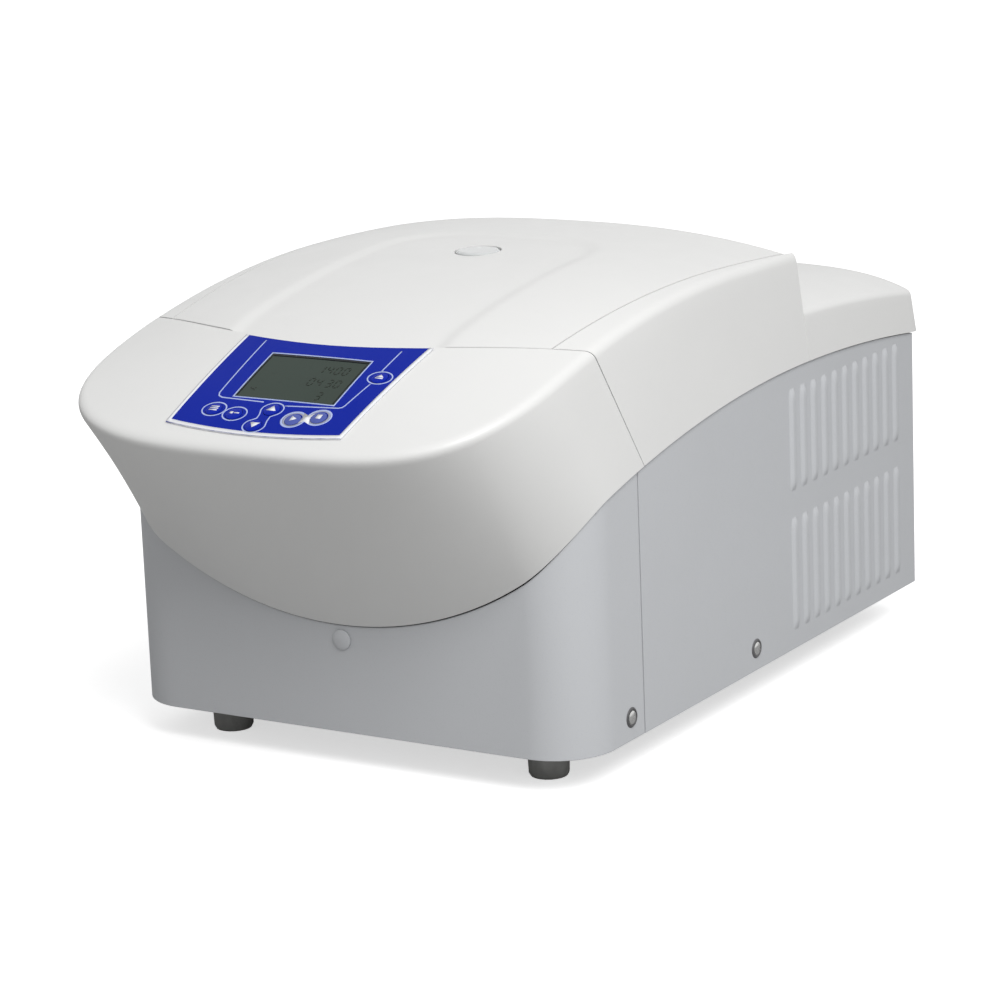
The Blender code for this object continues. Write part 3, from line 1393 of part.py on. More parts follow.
def make_lock(lid_axis):
    top = LINER_Z - GAP
    hook_points = [
        (HOOK_Y - HOOK_WIDTH / 2, top),
        (HOOK_Y - HOOK_WIDTH / 2, HOOK_LOW_Z + HOOK_WIDTH / 4),
        (HOOK_Y - HOOK_WIDTH / 4, HOOK_LOW_Z),
        (HOOK_Y + HOOK_WIDTH / 4, HOOK_LOW_Z),
        (HOOK_Y + HOOK_WIDTH / 2, HOOK_LOW_Z + HOOK_WIDTH / 4),
        (HOOK_Y + HOOK_WIDTH / 2, top),
    ]
    hook = outline_solid("lid_hook", hook_points, 2 * HOOK_HALF, (0, 0, 0), "YZ", STEEL)
    cut(hook, rod("hook_hole", HOOK_HOLE_RADIUS, (-OVERRUN, HOOK_Y, BOLT_Z), 2 * OVERRUN, "X"))
    ride(hook, lid_axis)
    low = (-LOCK_HALF, LOCK_FRONT_Y, LOCK_LOW_Z)
    high = (LOCK_HALF, LOCK_FRONT_Y + LOCK_DEPTH, TUB_Z - GAP)
    body = block("lock_body", low, high, PLASTIC)
    low = (-LOCK_SLOT_HALF, LOCK_SLOT_FRONT_Y, HOOK_LOW_Z - SEAM)
    high = (LOCK_SLOT_HALF, LOCK_SLOT_FRONT_Y + LOCK_SLOT_DEPTH, TUB_Z + 2 * OVERRUN)
    slot = block("lock_slot", low, high)
    bore_start = (-LOCK_HALF - OVERRUN, HOOK_Y, BOLT_Z)
    bore = rod("bolt_bore", BOLT_RADIUS + GAP, bore_start, LOCK_HALF + OVERRUN + 3 * LOCK_SLOT_HALF, "X")
    cut(body, slot, bore)
    bolt_x = BOLT_REST_X - BOLT_LENGTH
    empty = axis_empty("lock_bolt_axis", (bolt_x, HOOK_Y, BOLT_Z))
    ride(rod("lock_bolt", BOLT_RADIUS, (bolt_x, HOOK_Y, BOLT_Z), BOLT_LENGTH, "X", STEEL), empty)
    return slot


# Control panel


def panel_slope(x, y):
    step = KEY_RADIUS
    along_y = (roof_z(x, y + step) - roof_z(x, y - step)) / (2 * step)
    along_x = (roof_z(x + step, y) - roof_z(x - step, y)) / (2 * step)
    return Vector((-along_x, -along_y, 1)).normalized()


def roof_patch(name, left, right_at, front_at, rear_at, lift, thickness, look, columns, rows_back):
    """A sheet that follows the roof.

    right_at gives the x of its right edge at a share of the way back, front_at and rear_at the y of its ends.
    """
    bm = bmesh.new()
    rows = []
    for j in range(rows_back + 1):
        row = []
        for i in range(columns + 1):
            x = left + (right_at(j / rows_back) - left) * i / columns
            y = front_at(x) + (rear_at(x) - front_at(x)) * j / rows_back
            row.append(bm.verts.new((x, y, roof_z(x, y) + lift)))
        rows.append(row)
    grid_faces(bm, rows)
    patch = add_mesh(name, bm, look)
    face_outwards(patch, Vector((0, 0, HOUSING_BASE_Z)))
    hollowed(patch, thickness, 1)
    return patch


def overlay_right(share):
    return OVERLAY_RIGHT_FRONT + (OVERLAY_RIGHT_REAR - OVERLAY_RIGHT_FRONT) * share


def overlay_rear(x):
    return seam_y(x) - OVERLAY_TOP_MARGIN


def overlay_front(x):
    half = (OVERLAY_LEFT + OVERLAY_RIGHT_FRONT) / 2
    middle_x = OVERLAY_RIGHT_FRONT - half
    return OVERLAY_FRONT_Y - OVERLAY_BOW * (1 - ((x - middle_x) / half) ** 2)


def make_panel(fascia):
    lift = GAP / math.cos(PANEL_SLOPE)
    overlay = roof_patch("keypad_overlay", -OVERLAY_LEFT, overlay_right, overlay_front, overlay_rear, lift,
                         OVERLAY_THICK, BLUE, 10, 7)
    screen_front = SCREEN_REAR_Y - SCREEN_DEPTH
    low_z, high_z = roof_z(0, screen_front) - CROWN, roof_z(0, SCREEN_REAR_Y) + CROWN
    window_low = (SCREEN_X - SCREEN_HALF - 2 * GAP, screen_front - 2 * GAP, low_z)
    window_high = (SCREEN_X + SCREEN_HALF + 2 * GAP, SCREEN_REAR_Y + 2 * GAP, high_z)
    window = block("window_hole", window_low, window_high)
    cut(overlay, window)
    sight_low = (SCREEN_X - SCREEN_HALF + SCREEN_LEDGE, screen_front + SCREEN_LEDGE, low_z)
    sight_high = (SCREEN_X + SCREEN_HALF - SCREEN_LEDGE, SCREEN_REAR_Y - SCREEN_LEDGE, high_z)
    cut(fascia, block("display_hole", sight_low, sight_high))
    roof_patch("display_window", SCREEN_X - SCREEN_HALF, lambda share: SCREEN_X + SCREEN_HALF,
               lambda x: screen_front, lambda x: SCREEN_REAR_Y, lift, SCREEN_THICK, SCREEN, 4, 3)
    for name, (x, y) in KEYS.items():
        normal = panel_slope(x, y)
        turn = normal.to_track_quat("Z", "Y").to_euler()
        surface = Vector((x, y, roof_z(x, y)))
        hole = rod(f"{name}_hole", KEY_RADIUS + GAP, surface - normal * 2 * KEY_STEM, 4 * KEY_STEM, "Z")
        hole.rotation_euler = turn
        cut(overlay, hole)
        cut(fascia, hole)
        top = GAP + OVERLAY_THICK + KEY_PROUD
        profile = [
            (0, top),
            (KEY_RADIUS * KEY_FACE_SHARE, top),
            (KEY_RADIUS, top - KEY_PROUD / 2),
            (KEY_RADIUS, -KEY_STEM),
            (0, -KEY_STEM),
        ]
        key = turned(name, profile, surface, KEYCAP, 14)
        key.rotation_euler = turn
    centre_y = SCREEN_REAR_Y - SCREEN_DEPTH / 2
    normal = panel_slope(SCREEN_X, centre_y)
    turn = normal.to_track_quat("Z", "Y").to_euler()
    centre = Vector((SCREEN_X, centre_y, roof_z(SCREEN_X, centre_y)))
    module_top = COVER_SKIN + MODULE_DROP
    board_top = module_top + MODULE_THICK
    board_centre = centre - normal * (board_top + BOARD_THICK / 2)
    along_roof = Vector((0, normal.z, -normal.y)).normalized()
    half = (BOARD_HALF, BOARD_DEPTH / 2, BOARD_THICK / 2)
    board = block("display_board", [-h for h in half], half, BOARD)
    board.location = board_centre + along_roof * BOARD_SHIFT
    board.rotation_euler = turn
    half = (MODULE_HALF, MODULE_DEPTH / 2, MODULE_THICK / 2)
    module = block("display_module", [-h for h in half], half)
    module.location = centre - normal * (module_top + MODULE_THICK / 2 + GAP)
    module.rotation_euler = turn
    join(board, module)


# Cooling plant and rear connections


def make_compressor():
    half = COMPRESSOR_BASE / 2
    low = (COMPRESSOR_X - half, COMPRESSOR_Y - half, PLANT_FLOOR)
    high = (COMPRESSOR_X + half, COMPRESSOR_Y + half, PLANT_FLOOR + COMPRESSOR_BASE_THICK)
    base = block("compressor", low, high, ENAMEL)
    top, cap = COMPRESSOR_TOP_Z, COMPRESSOR_CAP
    floor = PLANT_FLOOR + COMPRESSOR_BASE_THICK / 2
    radius = COMPRESSOR_RADIUS
    profile = [
        (0, top),
        (radius * COMPRESSOR_CROWN_SHARE, top - cap / 10),
        (radius * COMPRESSOR_SHOULDER_SHARE, top - cap / 2),
        (radius, top - cap),
        (radius, floor + cap),
        (radius * COMPRESSOR_SHOULDER_SHARE, floor + cap / 2),
        (radius * COMPRESSOR_CROWN_SHARE, floor),
        (0, floor),
    ]
    can = turned("compressor_can", profile, (COMPRESSOR_X, COMPRESSOR_Y, 0))
    join(base, can)
    return base


def make_condenser():
    """Finned block: one comb outline, drawn upwards."""
    spine_x = CONDENSER_X + CONDENSER_WIDTH / 2
    pitch = CONDENSER_DEPTH / CONDENSER_FINS
    fin = pitch * CONDENSER_FIN_SHARE
    half_spine = CONDENSER_SPINE / 2
    right, left = [], []
    for k in range(CONDENSER_FINS):
        low = CONDENSER_FRONT_Y + pitch * k
        high = low + fin
        for edge, tip, points in (
            (spine_x + half_spine, CONDENSER_X + CONDENSER_WIDTH, right),
            (spine_x - half_spine, CONDENSER_X, left),
        ):
            points += [(edge, low), (tip, low), (tip, high), (edge, high)]
    outline = right[1:-1] + left[::-1][1:-1]
    centre_z = PLANT_FLOOR + CONDENSER_HEIGHT / 2
    return outline_solid("condenser", outline, CONDENSER_HEIGHT, (0, 0, centre_z), "XY", ALUMINIUM)


def make_fan():
    low = (FAN_X, FAN_Y - FAN_SIDE / 2, PLANT_FLOOR)
    high = (FAN_X + FAN_THICK, FAN_Y + FAN_SIDE / 2, PLANT_FLOOR + FAN_SIDE)
    frame = block("fan_frame", low, high, PLASTIC)
    hole = rod("fan_hole", FAN_HOLE, (FAN_X - OVERRUN, FAN_Y, FAN_Z), FAN_THICK + 2 * OVERRUN, "X", sides=24)
    cut(frame, hole)
    strut_low = (FAN_X, FAN_Y - FAN_STRUT / 2, FAN_Z - FAN_SIDE / 2 + FAN_STRUT / 2)
    strut_high = (FAN_X + FAN_STRUT / 2, FAN_Y + FAN_STRUT / 2, FAN_Z + FAN_SIDE / 2 - FAN_STRUT / 2)
    join(frame, block("fan_strut_upright", strut_low, strut_high))
    hub = rod("fan_motor_hub", FAN_HUB, (FAN_X, FAN_Y, FAN_Z), FAN_STRUT, "X", sides=SMALL_ROUND)
    join(frame, hub)
    spin = axis_empty("fan_spin_axis", (FAN_X + FAN_STRUT + GAP, FAN_Y, FAN_Z))
    start = (FAN_X + FAN_STRUT + GAP, FAN_Y, FAN_Z)
    wheel_length = FAN_THICK - FAN_STRUT - GAP - RUNNING
    wheel = rod("fan_wheel", FAN_HUB, start, wheel_length, "X", PLASTIC, sides=SMALL_ROUND)
    root_radius = FAN_HUB * FAN_ROOT_SHARE
    for k in range(FAN_BLADES):
        blade = block(f"fan_blade_{k + 1}", (-FAN_BLADE_THICK / 2, root_radius, -FAN_BLADE_CHORD / 2),
                      (FAN_BLADE_THICK / 2, FAN_BLADE, FAN_BLADE_CHORD / 2))
        blade_middle = Vector((wheel_length / 2, (root_radius + FAN_BLADE) / 2, 0))
        around = Matrix.Rotation(2 * math.pi * k / FAN_BLADES, 3, "X")
        blade.location = Vector(start) + around @ blade_middle
        blade.rotation_euler = (around @ Matrix.Rotation(math.pi / 2 - FAN_PITCH, 3, "Y")).to_euler()
        join(wheel, blade)
    ride(wheel, spin)


def make_pipes():
    top = COMPRESSOR_TOP_Z + 3 * GAP
    condenser_top = PLANT_FLOOR + CONDENSER_HEIGHT
    spine_x = CONDENSER_X + CONDENSER_WIDTH / 2
    lift = COMPRESSOR_TOP_Z + 2 * PIPE_BEND
    route = [
        (COMPRESSOR_X + PIPE_BEND, COMPRESSOR_Y, top),
        (COMPRESSOR_X + PIPE_BEND, COMPRESSOR_Y, lift),
        (spine_x, COMPRESSOR_Y, lift),
        (spine_x, COMPRESSOR_Y, condenser_top + GAP),
    ]
    tube("discharge_pipe", with_bends(route, PIPE_BEND), PIPE_RADIUS, COPPER, sides=1)
    route = [
        (SUCTION_X, SPIN_Y + INSULATION_RADIUS, SUCTION_Z),
        (SUCTION_X, BULKHEAD_Y + 2 * PIPE_BEND, SUCTION_Z),
        (COMPRESSOR_X, BULKHEAD_Y + 2 * PIPE_BEND, SUCTION_Z),
        (COMPRESSOR_X, COMPRESSOR_Y - PIPE_BEND, SUCTION_Z),
        (COMPRESSOR_X, COMPRESSOR_Y - PIPE_BEND, top),
    ]
    tube("suction_pipe", with_bends(route, SUCTION_BEND), THIN_PIPE_RADIUS, COPPER, sides=1)
    front = CONDENSER_FRONT_Y + PIPE_BEND
    lift = condenser_top + 2 * PIPE_BEND
    route = [
        (spine_x, front, condenser_top + GAP),
        (spine_x, front, lift),
        (CAPILLARY_X, front, lift),
        (CAPILLARY_X, front, SUCTION_Z),
        (CAPILLARY_X, SPIN_Y + INSULATION_RADIUS, SUCTION_Z),
    ]
    tube("liquid_pipe", with_bends(route, LIQUID_BEND), THIN_PIPE_RADIUS, COPPER, sides=1)


def framed_socket(name, half_width, half_height, z, depth, look):
    """A frame with a flange on the rear panel and a pocket that is open to the rear."""
    outside = HOUSING_DEPTH + GAP
    reach = INLET_WALL + INLET_FLANGE
    low = (INLET_X - half_width - reach, outside, z - half_height - INLET_WALL - SEAM)
    high = (INLET_X + half_width + reach, outside + INLET_FLANGE_THICK, z + half_height + INLET_WALL + SEAM)
    frame = block(name, low, high, look)
    low = (INLET_X - half_width - INLET_WALL, outside - depth - INLET_WALL, z - half_height - INLET_WALL)
    high = (INLET_X + half_width + INLET_WALL, outside + INLET_FLANGE_THICK / 2, z + half_height + INLET_WALL)
    join(frame, block(f"{name}_body", low, high))
    low = (INLET_X - half_width, outside - depth, z - half_height)
    high = (INLET_X + half_width, outside + INLET_FLANGE_THICK + OVERRUN, z + half_height)
    cut(frame, block(f"{name}_pocket", low, high))
    return frame


def make_rear_connections():
    inlet = framed_socket("mains_inlet", INLET_HALF_WIDTH, INLET_HALF_HEIGHT, INLET_Z, INLET_DEPTH, PLASTIC)
    for k in (-1, 0, 1):
        x = INLET_X + k * INLET_PIN_SPACING
        z = INLET_Z + (INLET_PIN if k == 0 else -INLET_PIN)
        low = (x - INLET_PIN / 2, HOUSING_DEPTH - INLET_DEPTH - INLET_WALL / 2, z - INLET_PIN)
        high = (x + INLET_PIN / 2, HOUSING_DEPTH - INLET_WALL, z + INLET_PIN)
        join(inlet, block(f"inlet_pin_{k + 2}", low, high))
    framed_socket("switch_frame", SWITCH_HALF_WIDTH, SWITCH_HALF_HEIGHT, SWITCH_Z, SWITCH_DEPTH, PLASTIC)
    axis_y = HOUSING_DEPTH - SWITCH_DEPTH / 2 + GAP
    axis = axis_empty("mains_switch_axis", (INLET_X, axis_y, SWITCH_Z))
    half = ROCKER_HALF_HEIGHT
    proud = SWITCH_DEPTH / 2 - RUNNING
    swing = math.tan(SWITCH_TILT) * half
    outline = [
        (-proud + 2 * swing, -half * ROCKER_TAIL_SHARE),
        (proud + swing, -half),
        (proud - swing / 2, 0),
        (proud + swing, half),
        (-proud + 2 * swing, half * ROCKER_TAIL_SHARE),
    ]
    width = 2 * (SWITCH_HALF_WIDTH - GAP)
    rocker = outline_solid("mains_rocker", outline, width, (INLET_X, axis_y, SWITCH_Z), "YZ", ENAMEL)
    rocker.rotation_euler = (-SWITCH_TILT, 0, 0)
    ride(rocker, axis)


def build():
    fascia = make_fascia()
    make_top_cover()
    lid, sight_hole = make_lid()
    liner = make_liner(sight_hole)
    lid_axis = axis_empty("lid_hinge_axis", (0, HINGE_Y, HINGE_Z))
    for piece in (lid, liner, make_gasket(), make_sight_glass()):
        ride(piece, lid_axis)
    make_front_housing()
    for side in (-1, 1):
        make_side_panel(side)
    make_rear_panel()
    make_tray()
    make_feet()
    make_side_screws()
    make_plug()
    make_bulkhead()
    tub = make_tub()
    start, length = (0, SPIN_Y, TUB_Z - OVERRUN), TUB_THICK + 2 * OVERRUN
    bowl_hole = rod("bowl_hole", BOWL_RADIUS + BOWL_WALL + GAP, start, length, "Z", sides=FINE_ROUND)
    cut(tub, bowl_hole)
    make_bowl()
    make_coil()
    make_insulation()
    make_drive()
    make_hinge(lid_axis)
    cut(tub, make_lock(lid_axis))
    make_panel(fascia)
    make_compressor()
    make_condenser()
    make_fan()
    make_pipes()
    make_rear_connections()


clear_scene()
parts = collection(MODEL)
cutters = collection("cutters")
root = bpy.data.objects.new("microcentrifuge_root", None)
root.location = (0, ORIGIN_Y, 0)
parts.objects.link(root)
bpy.context.view_layer.update()
build()
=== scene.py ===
import math

import bmesh
import bpy
from mathutils import Matrix, Vector


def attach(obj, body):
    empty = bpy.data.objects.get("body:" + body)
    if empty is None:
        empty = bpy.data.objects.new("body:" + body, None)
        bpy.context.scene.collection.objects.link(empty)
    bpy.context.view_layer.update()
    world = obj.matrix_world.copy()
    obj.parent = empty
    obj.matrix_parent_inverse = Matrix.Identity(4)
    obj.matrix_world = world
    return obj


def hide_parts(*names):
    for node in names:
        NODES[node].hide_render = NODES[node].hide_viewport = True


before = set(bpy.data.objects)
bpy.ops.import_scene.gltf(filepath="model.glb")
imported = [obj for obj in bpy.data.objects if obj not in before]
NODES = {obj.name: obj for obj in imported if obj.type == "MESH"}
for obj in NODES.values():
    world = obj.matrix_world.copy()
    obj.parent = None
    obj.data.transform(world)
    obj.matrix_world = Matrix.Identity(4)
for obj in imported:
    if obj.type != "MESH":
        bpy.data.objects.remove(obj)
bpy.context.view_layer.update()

# The form, as in the part's source: metres, y to the rear from the housing's front
GAP = 0.0003
SEAM = 0.0010
EDGE_GAP = 0.0008
HOUSING_HALF = 0.176
HOUSING_DEPTH = 0.482
HOUSING_BASE_Z = 0.0246
HOUSING_CORNER = 0.040
HOUSING_WALL = 0.0025
SIDE_SEAM_Y = 0.0778
COVER_PROUD = 0.0015
EDGE_FRONT_Z = 0.0973
EDGE_FRONT_RADIUS = 0.251
EDGE_APEX_Y = 0.305
EDGE_APEX_Z = 0.2205
EDGE_FORE_RADIUS = 1.08
EDGE_AFT_RADIUS = 1.45
RIM_APEX_Y = 0.222
RIM_APEX_Z = 0.2958
RIM_FORE_RADIUS = 0.870
RIM_AFT_RADIUS = 1.700
RIM_HALF = 0.1665
RIM_HALF_REAR = 0.1685
NOSE_REACH = 0.112
RIM_REACH = 0.106  # the rim's own reach, as the photo shows it
NOSE_POWER = 3.7
CROWN = 0.0158
CROWN_POWER = 2.5
CROWN_FULL_Y = 0.030
TALL_REAR_Y = 0.314
WALL_FOOT_FRONT_Y = 0.0846
COVER_SKIN = 0.0025
RIM_ROUND = 0.006
NOSE_ROUND = 0.009
NOSE_ROUND_FROM_SHARE = 0.35
NOSE_ROUND_TO_SHARE = 0.75
SEAM_ARC_RADIUS = 0.335
SEAM_FRONT_Y = 0.0
RIM_FRONT_Y = SEAM_FRONT_Y + SEAM_ARC_RADIUS - math.sqrt(SEAM_ARC_RADIUS**2 - RIM_HALF**2)
LID_HALF_FRONT = 0.1437
LID_FLARE = 0.073
LID_BASE_Z = 0.2605
LID_DRAFT = 0.002
LID_REAR_ROUND = 0.009
RECESS_DEPTH = 0.0022
RECESS_HALF = 0.078
RECESS_REAR_Y = 0.232
RECESS_CORNER = 0.045
RECESS_SLOPE = 0.012
NOTCH_INNER_X = 0.096
NOTCH_OUTER_X = 0.1128
NOTCH_TOP_Z = 0.2960
DECK_FOOT_HALF = 0.1775
DECK_HALF = 0.1735
DECK_APEX_Y = 0.250
DECK_APEX_Z = 0.2555
DECK_RADIUS = 1.68
DECK_CROWN = 0.0155
DECK_CROWN_POWER = 5
DECK_FOOT_REACH = 0.0075
DECK_REAR_Y = 0.4885
CORNER_ROUND = 0.0045
DECK_ROUND = 0.0038
DECK_OVERHANG = 0.0030
STEP_Y = TALL_REAR_Y + SEAM / 2 + GAP
RAIL_REAR_Y = STEP_Y + 0.0010
TUB_TOP_Z = 0.2550
SPIN_Y = 0.182
SIGHT_RADIUS = 0.015
SIGHT_GAP = 0.0009
PLUG_Z = 0.0869
PLUG_OPENING = 0.0048
OVERLAY_LEFT = 0.0635
OVERLAY_RIGHT_REAR = 0.0755
OVERLAY_RIGHT_FRONT = 0.0665
OVERLAY_THICK = 0.0008
OVERLAY_TOP_MARGIN = 0.003
OVERLAY_FRONT_Y = -0.0868
OVERLAY_BOW = 0.0050
WINDOW_THICK = 0.0010
KEY_PROUD = 0.0006
PRINT_THICK = 0.00012
PRINT_LIFT = 0.00006
MARK_LIFT = 0.00007
PANEL_LEAN = 1.09  # height of one unit of thickness that stands square to the panel
PANEL_SLOPE = 0.43
KEY_SLOPE = 0.46
SCREEN_X = 0.0068
SCREEN_HALF = 0.0366
SCREEN_REAR_Y = -0.0165
SCREEN_DEPTH = 0.0427
KEY_RADIUS = 0.0054
KEY_HOLE_REACH = 0.012
KEYS = {
    "key_menu": (-0.0364, -0.0729),
    "key_set": (-0.0193, -0.0754),
    "key_up": (0.0045, -0.0689),
    "key_down": (0.0008, -0.0838),
    "key_start": (0.0246, -0.0756),
    "key_stop": (0.0410, -0.0718),
    "key_lid": (0.0590, -0.0304),
}
LOUVRES = 11
LOUVRE_FIRST_Y = 0.2935
LOUVRE_PITCH = 0.0161
LOUVRE_WIDTH = 0.0085
LOUVRE_PROUD = 0.0019
LOUVRE_THICK = 0.0007
LOUVRE_ROWS = ((0.0370, 0.1175), (0.1345, 0.2070))
HOOD_REAR = 0.0012
HOOD_SUNK = 0.0001
HOOD_RUN_OUT = 0.006
HOOD_RISE_SHARE = 0.45
HOOD_FALL_FROM = 0.80
HOOD_FALL = 0.55
SLOT_AHEAD = 0.0016
SLOT_BEHIND = 0.0010
SLOT_SHORT = 0.003
SCREW_YS = (0.0614, 0.2321)
SCREW_Z = 0.0399
SCREW_SHANK = 0.0023
ORIGIN_Y = (NOSE_REACH - HOUSING_DEPTH - DECK_FOOT_REACH) / 2


def arc_fall(distance, fore, aft):
    radius = fore if distance > 0 else aft
    return radius - math.sqrt(radius**2 - distance**2)


def rim_z(y):
    return RIM_APEX_Z - arc_fall(RIM_APEX_Y - y, RIM_FORE_RADIUS, RIM_AFT_RADIUS)


def crown_at(y):
    share = (y + NOSE_REACH) / (CROWN_FULL_Y + NOSE_REACH)
    return CROWN * min(max(share, 0), 1)


def roof_z(x, y):
    return rim_z(y) + crown_at(y) * (1 - abs(x / RIM_HALF_REAR) ** CROWN_POWER)


def smoothstep(value):
    value = min(max(value, 0), 1)
    return value * value * (3 - 2 * value)


def lid_z(x, y):
    across = RECESS_HALF - abs(x)
    behind = RECESS_REAR_Y - y
    reach = min(across, behind)
    if across < RECESS_CORNER and behind < RECESS_CORNER:
        reach = RECESS_CORNER - math.hypot(RECESS_CORNER - across, RECESS_CORNER - behind)
    return roof_z(x, y) - RECESS_DEPTH * smoothstep(0.5 + reach / RECESS_SLOPE)


def seam_y(x):
    return SEAM_FRONT_Y + SEAM_ARC_RADIUS - math.sqrt(SEAM_ARC_RADIUS**2 - x**2)


def lid_half(y):
    return LID_HALF_FRONT + LID_FLARE * (y - seam_y(LID_HALF_FRONT))


def edge_front_z(x):
    return EDGE_FRONT_Z + EDGE_FRONT_RADIUS - math.sqrt(EDGE_FRONT_RADIUS**2 - x**2)


def edge_side_z(y):
    return EDGE_APEX_Z - arc_fall(EDGE_APEX_Y - y, EDGE_FORE_RADIUS, EDGE_AFT_RADIUS)


def edge_corner_z(share, turn):
    flat = HOUSING_HALF - HOUSING_CORNER
    ahead = EDGE_APEX_Y - HOUSING_CORNER
    start_slope = flat / math.sqrt(EDGE_FRONT_RADIUS**2 - flat**2) * turn
    end_slope = ahead / math.sqrt(EDGE_FORE_RADIUS**2 - ahead**2) * turn
    start, end = edge_front_z(flat), edge_side_z(HOUSING_CORNER)
    rise = start + (end - start) * smoothstep(share)
    return rise + share * (1 - share) * (start_slope * (1 - share) - end_slope * share)


def waist(distance, proud=0.0):
    """A point of the waist line, at a distance along it from the front's middle."""
    flat = HOUSING_HALF - HOUSING_CORNER
    turn = HOUSING_CORNER * math.pi / 2
    if distance <= flat:
        return Vector((distance, -proud, edge_front_z(distance)))
    if distance >= flat + turn:
        y = HOUSING_CORNER + distance - flat - turn
        return Vector((HOUSING_HALF + proud, y, edge_side_z(y)))
    angle = (distance - flat) / HOUSING_CORNER
    share = (distance - flat) / turn
    radius = HOUSING_CORNER + proud
    x = flat + radius * math.sin(angle)
    y = HOUSING_CORNER - radius * math.cos(angle)
    return Vector((x, y, edge_corner_z(share, turn)))


def waist_distance(y):
    return HOUSING_HALF - HOUSING_CORNER + HOUSING_CORNER * math.pi / 2 + y - HOUSING_CORNER


def bezier(a, b, c, t):
    return a * (1 - t) ** 2 + b * 2 * t * (1 - t) + c * t**2


def along(path, share):
    lengths = [(b - a).length for a, b in zip(path, path[1:])]
    left = share * sum(lengths)
    for a, b, length in zip(path, path[1:], lengths):
        if left <= length:
            return a.lerp(b, left / length)
        left -= length
    return path[-1]


def nose_rim(steps=400):
    rear = RIM_FRONT_Y - SEAM / 2
    depth = RIM_REACH + rear
    path = []
    for k in range(steps + 1):
        angle = math.pi / 2 * (1 - k / steps)
        ahead = depth * max(math.sin(angle), 0) ** (2 / NOSE_POWER)
        across = RIM_HALF * max(math.cos(angle), 0) ** (2 / NOSE_POWER)
        path.append(Vector((across, rear - ahead, 0)))
    return path


RIM_PATH = nose_rim()


def wall_rows(inner, rim, foot, setback, steps, straight):
    down = rim + (foot - rim).normalized() * setback
    rows = [bezier(inner, rim, down, k / steps) for k in range(1, steps + 1)]
    return rows + [down.lerp(foot, k / straight) for k in range(1, straight + 1)]


def nose_strand(share, steps, straight):
    """One line of points from the roof over the nose's rim and down its wall."""
    here = along(RIM_PATH, share)
    look = 0.01
    ahead = along(RIM_PATH, min(share + look, 1)) - along(RIM_PATH, max(share - look, 0))
    inward = Vector((-ahead.y, ahead.x, 0)).normalized()
    seam_way = Vector((-1, -RIM_HALF / math.sqrt(SEAM_ARC_RADIUS**2 - RIM_HALF**2), 0)).normalized()
    inward = inward.lerp(seam_way, smoothstep((share - NOSE_ROUND_TO_SHARE) / (1 - NOSE_ROUND_TO_SHARE)))
    blend = smoothstep((share - NOSE_ROUND_FROM_SHARE) / (NOSE_ROUND_TO_SHARE - NOSE_ROUND_FROM_SHARE))
    rounding = NOSE_ROUND + (RIM_ROUND - NOSE_ROUND) * blend
    inner = here + inward.normalized() * rounding
    rim = Vector((here.x, here.y, roof_z(here.x, here.y)))
    inner = Vector((inner.x, inner.y, roof_z(inner.x, inner.y)))
    foot = waist(share * waist_distance(WALL_FOOT_FRONT_Y), COVER_PROUD)
    return [inner] + wall_rows(inner, rim, foot, rounding, steps, straight)


def mirrored(point):
    return Vector((-point.x, point.y, point.z))


def coons(front, rear, left, right):
    """Rows of points that fill the space between four border lines."""
    across, back = len(front) - 1, len(left) - 1
    rows = []
    for j in range(back + 1):
        v = j / back
        row = []
        for i in range(across + 1):
            u = i / across
            sides = left[j] * (1 - u) + right[j] * u
            ends = front[i] * (1 - v) + rear[i] * v
            corners = (front[0] * (1 - u) + front[-1] * u) * (1 - v) + (rear[0] * (1 - u) + rear[-1] * u) * v
            row.append(sides + ends - corners)
        rows.append(row)
    return rows


def grid_faces(bm, rows):
    for row, following in zip(rows, rows[1:]):
        for k in range(len(row) - 1):
            bm.faces.new((row[k], row[k + 1], following[k + 1], following[k]))


# Making pieces
def place(name, data):
    obj = bpy.data.objects.new(name, data)
    bpy.context.scene.collection.objects.link(obj)
    return obj


def new_piece(name, bm, material, body, replaces=(), shift=True):
    if shift:
        bmesh.ops.translate(bm, vec=(0, ORIGIN_Y, 0), verts=bm.verts)
    mesh = bpy.data.meshes.new(name)
    bm.to_mesh(mesh)
    bm.free()
    mesh.shade_smooth()
    obj = place(name, mesh)
    obj.data.materials.append(material)
    if body:
        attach(obj, body)
    if replaces:
        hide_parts(*replaces)
    return obj


def orient(bm, inside):
    bmesh.ops.recalc_face_normals(bm, faces=bm.faces)
    face = max(bm.faces, key=lambda f: f.calc_area())
    if (face.calc_center_median() - Vector(inside)).dot(face.normal) < 0:
        bmesh.ops.reverse_faces(bm, faces=bm.faces)


def round_edges(obj, width, segments, degrees, harden=True):
    step = obj.modifiers.new("rounded edges", "BEVEL")
    step.width = width
    step.segments = segments
    step.limit_method = "ANGLE"
    step.angle_limit = math.radians(degrees)
    step.harden_normals = harden


def shell(obj, thickness, edge):
    solid = obj.modifiers.new("wall", "SOLIDIFY")
    solid.thickness = thickness
    solid.offset = -1
    solid.use_even_offset = True
    if edge:
        round_edges(obj, edge, 3, 50)


def cutter(name, bm):
    bmesh.ops.translate(bm, vec=(0, ORIGIN_Y, 0), verts=bm.verts)
    bmesh.ops.recalc_face_normals(bm, faces=bm.faces)
    mesh = bpy.data.meshes.new(name)
    bm.to_mesh(mesh)
    bm.free()
    obj = place(name, mesh)
    obj.hide_render = True
    obj.hide_set(True)
    return obj


def cut(obj, tool):
    step = obj.modifiers.new("cut " + tool.name, "BOOLEAN")
    step.operation = "DIFFERENCE"
    step.object = tool
    step.solver = "EXACT"


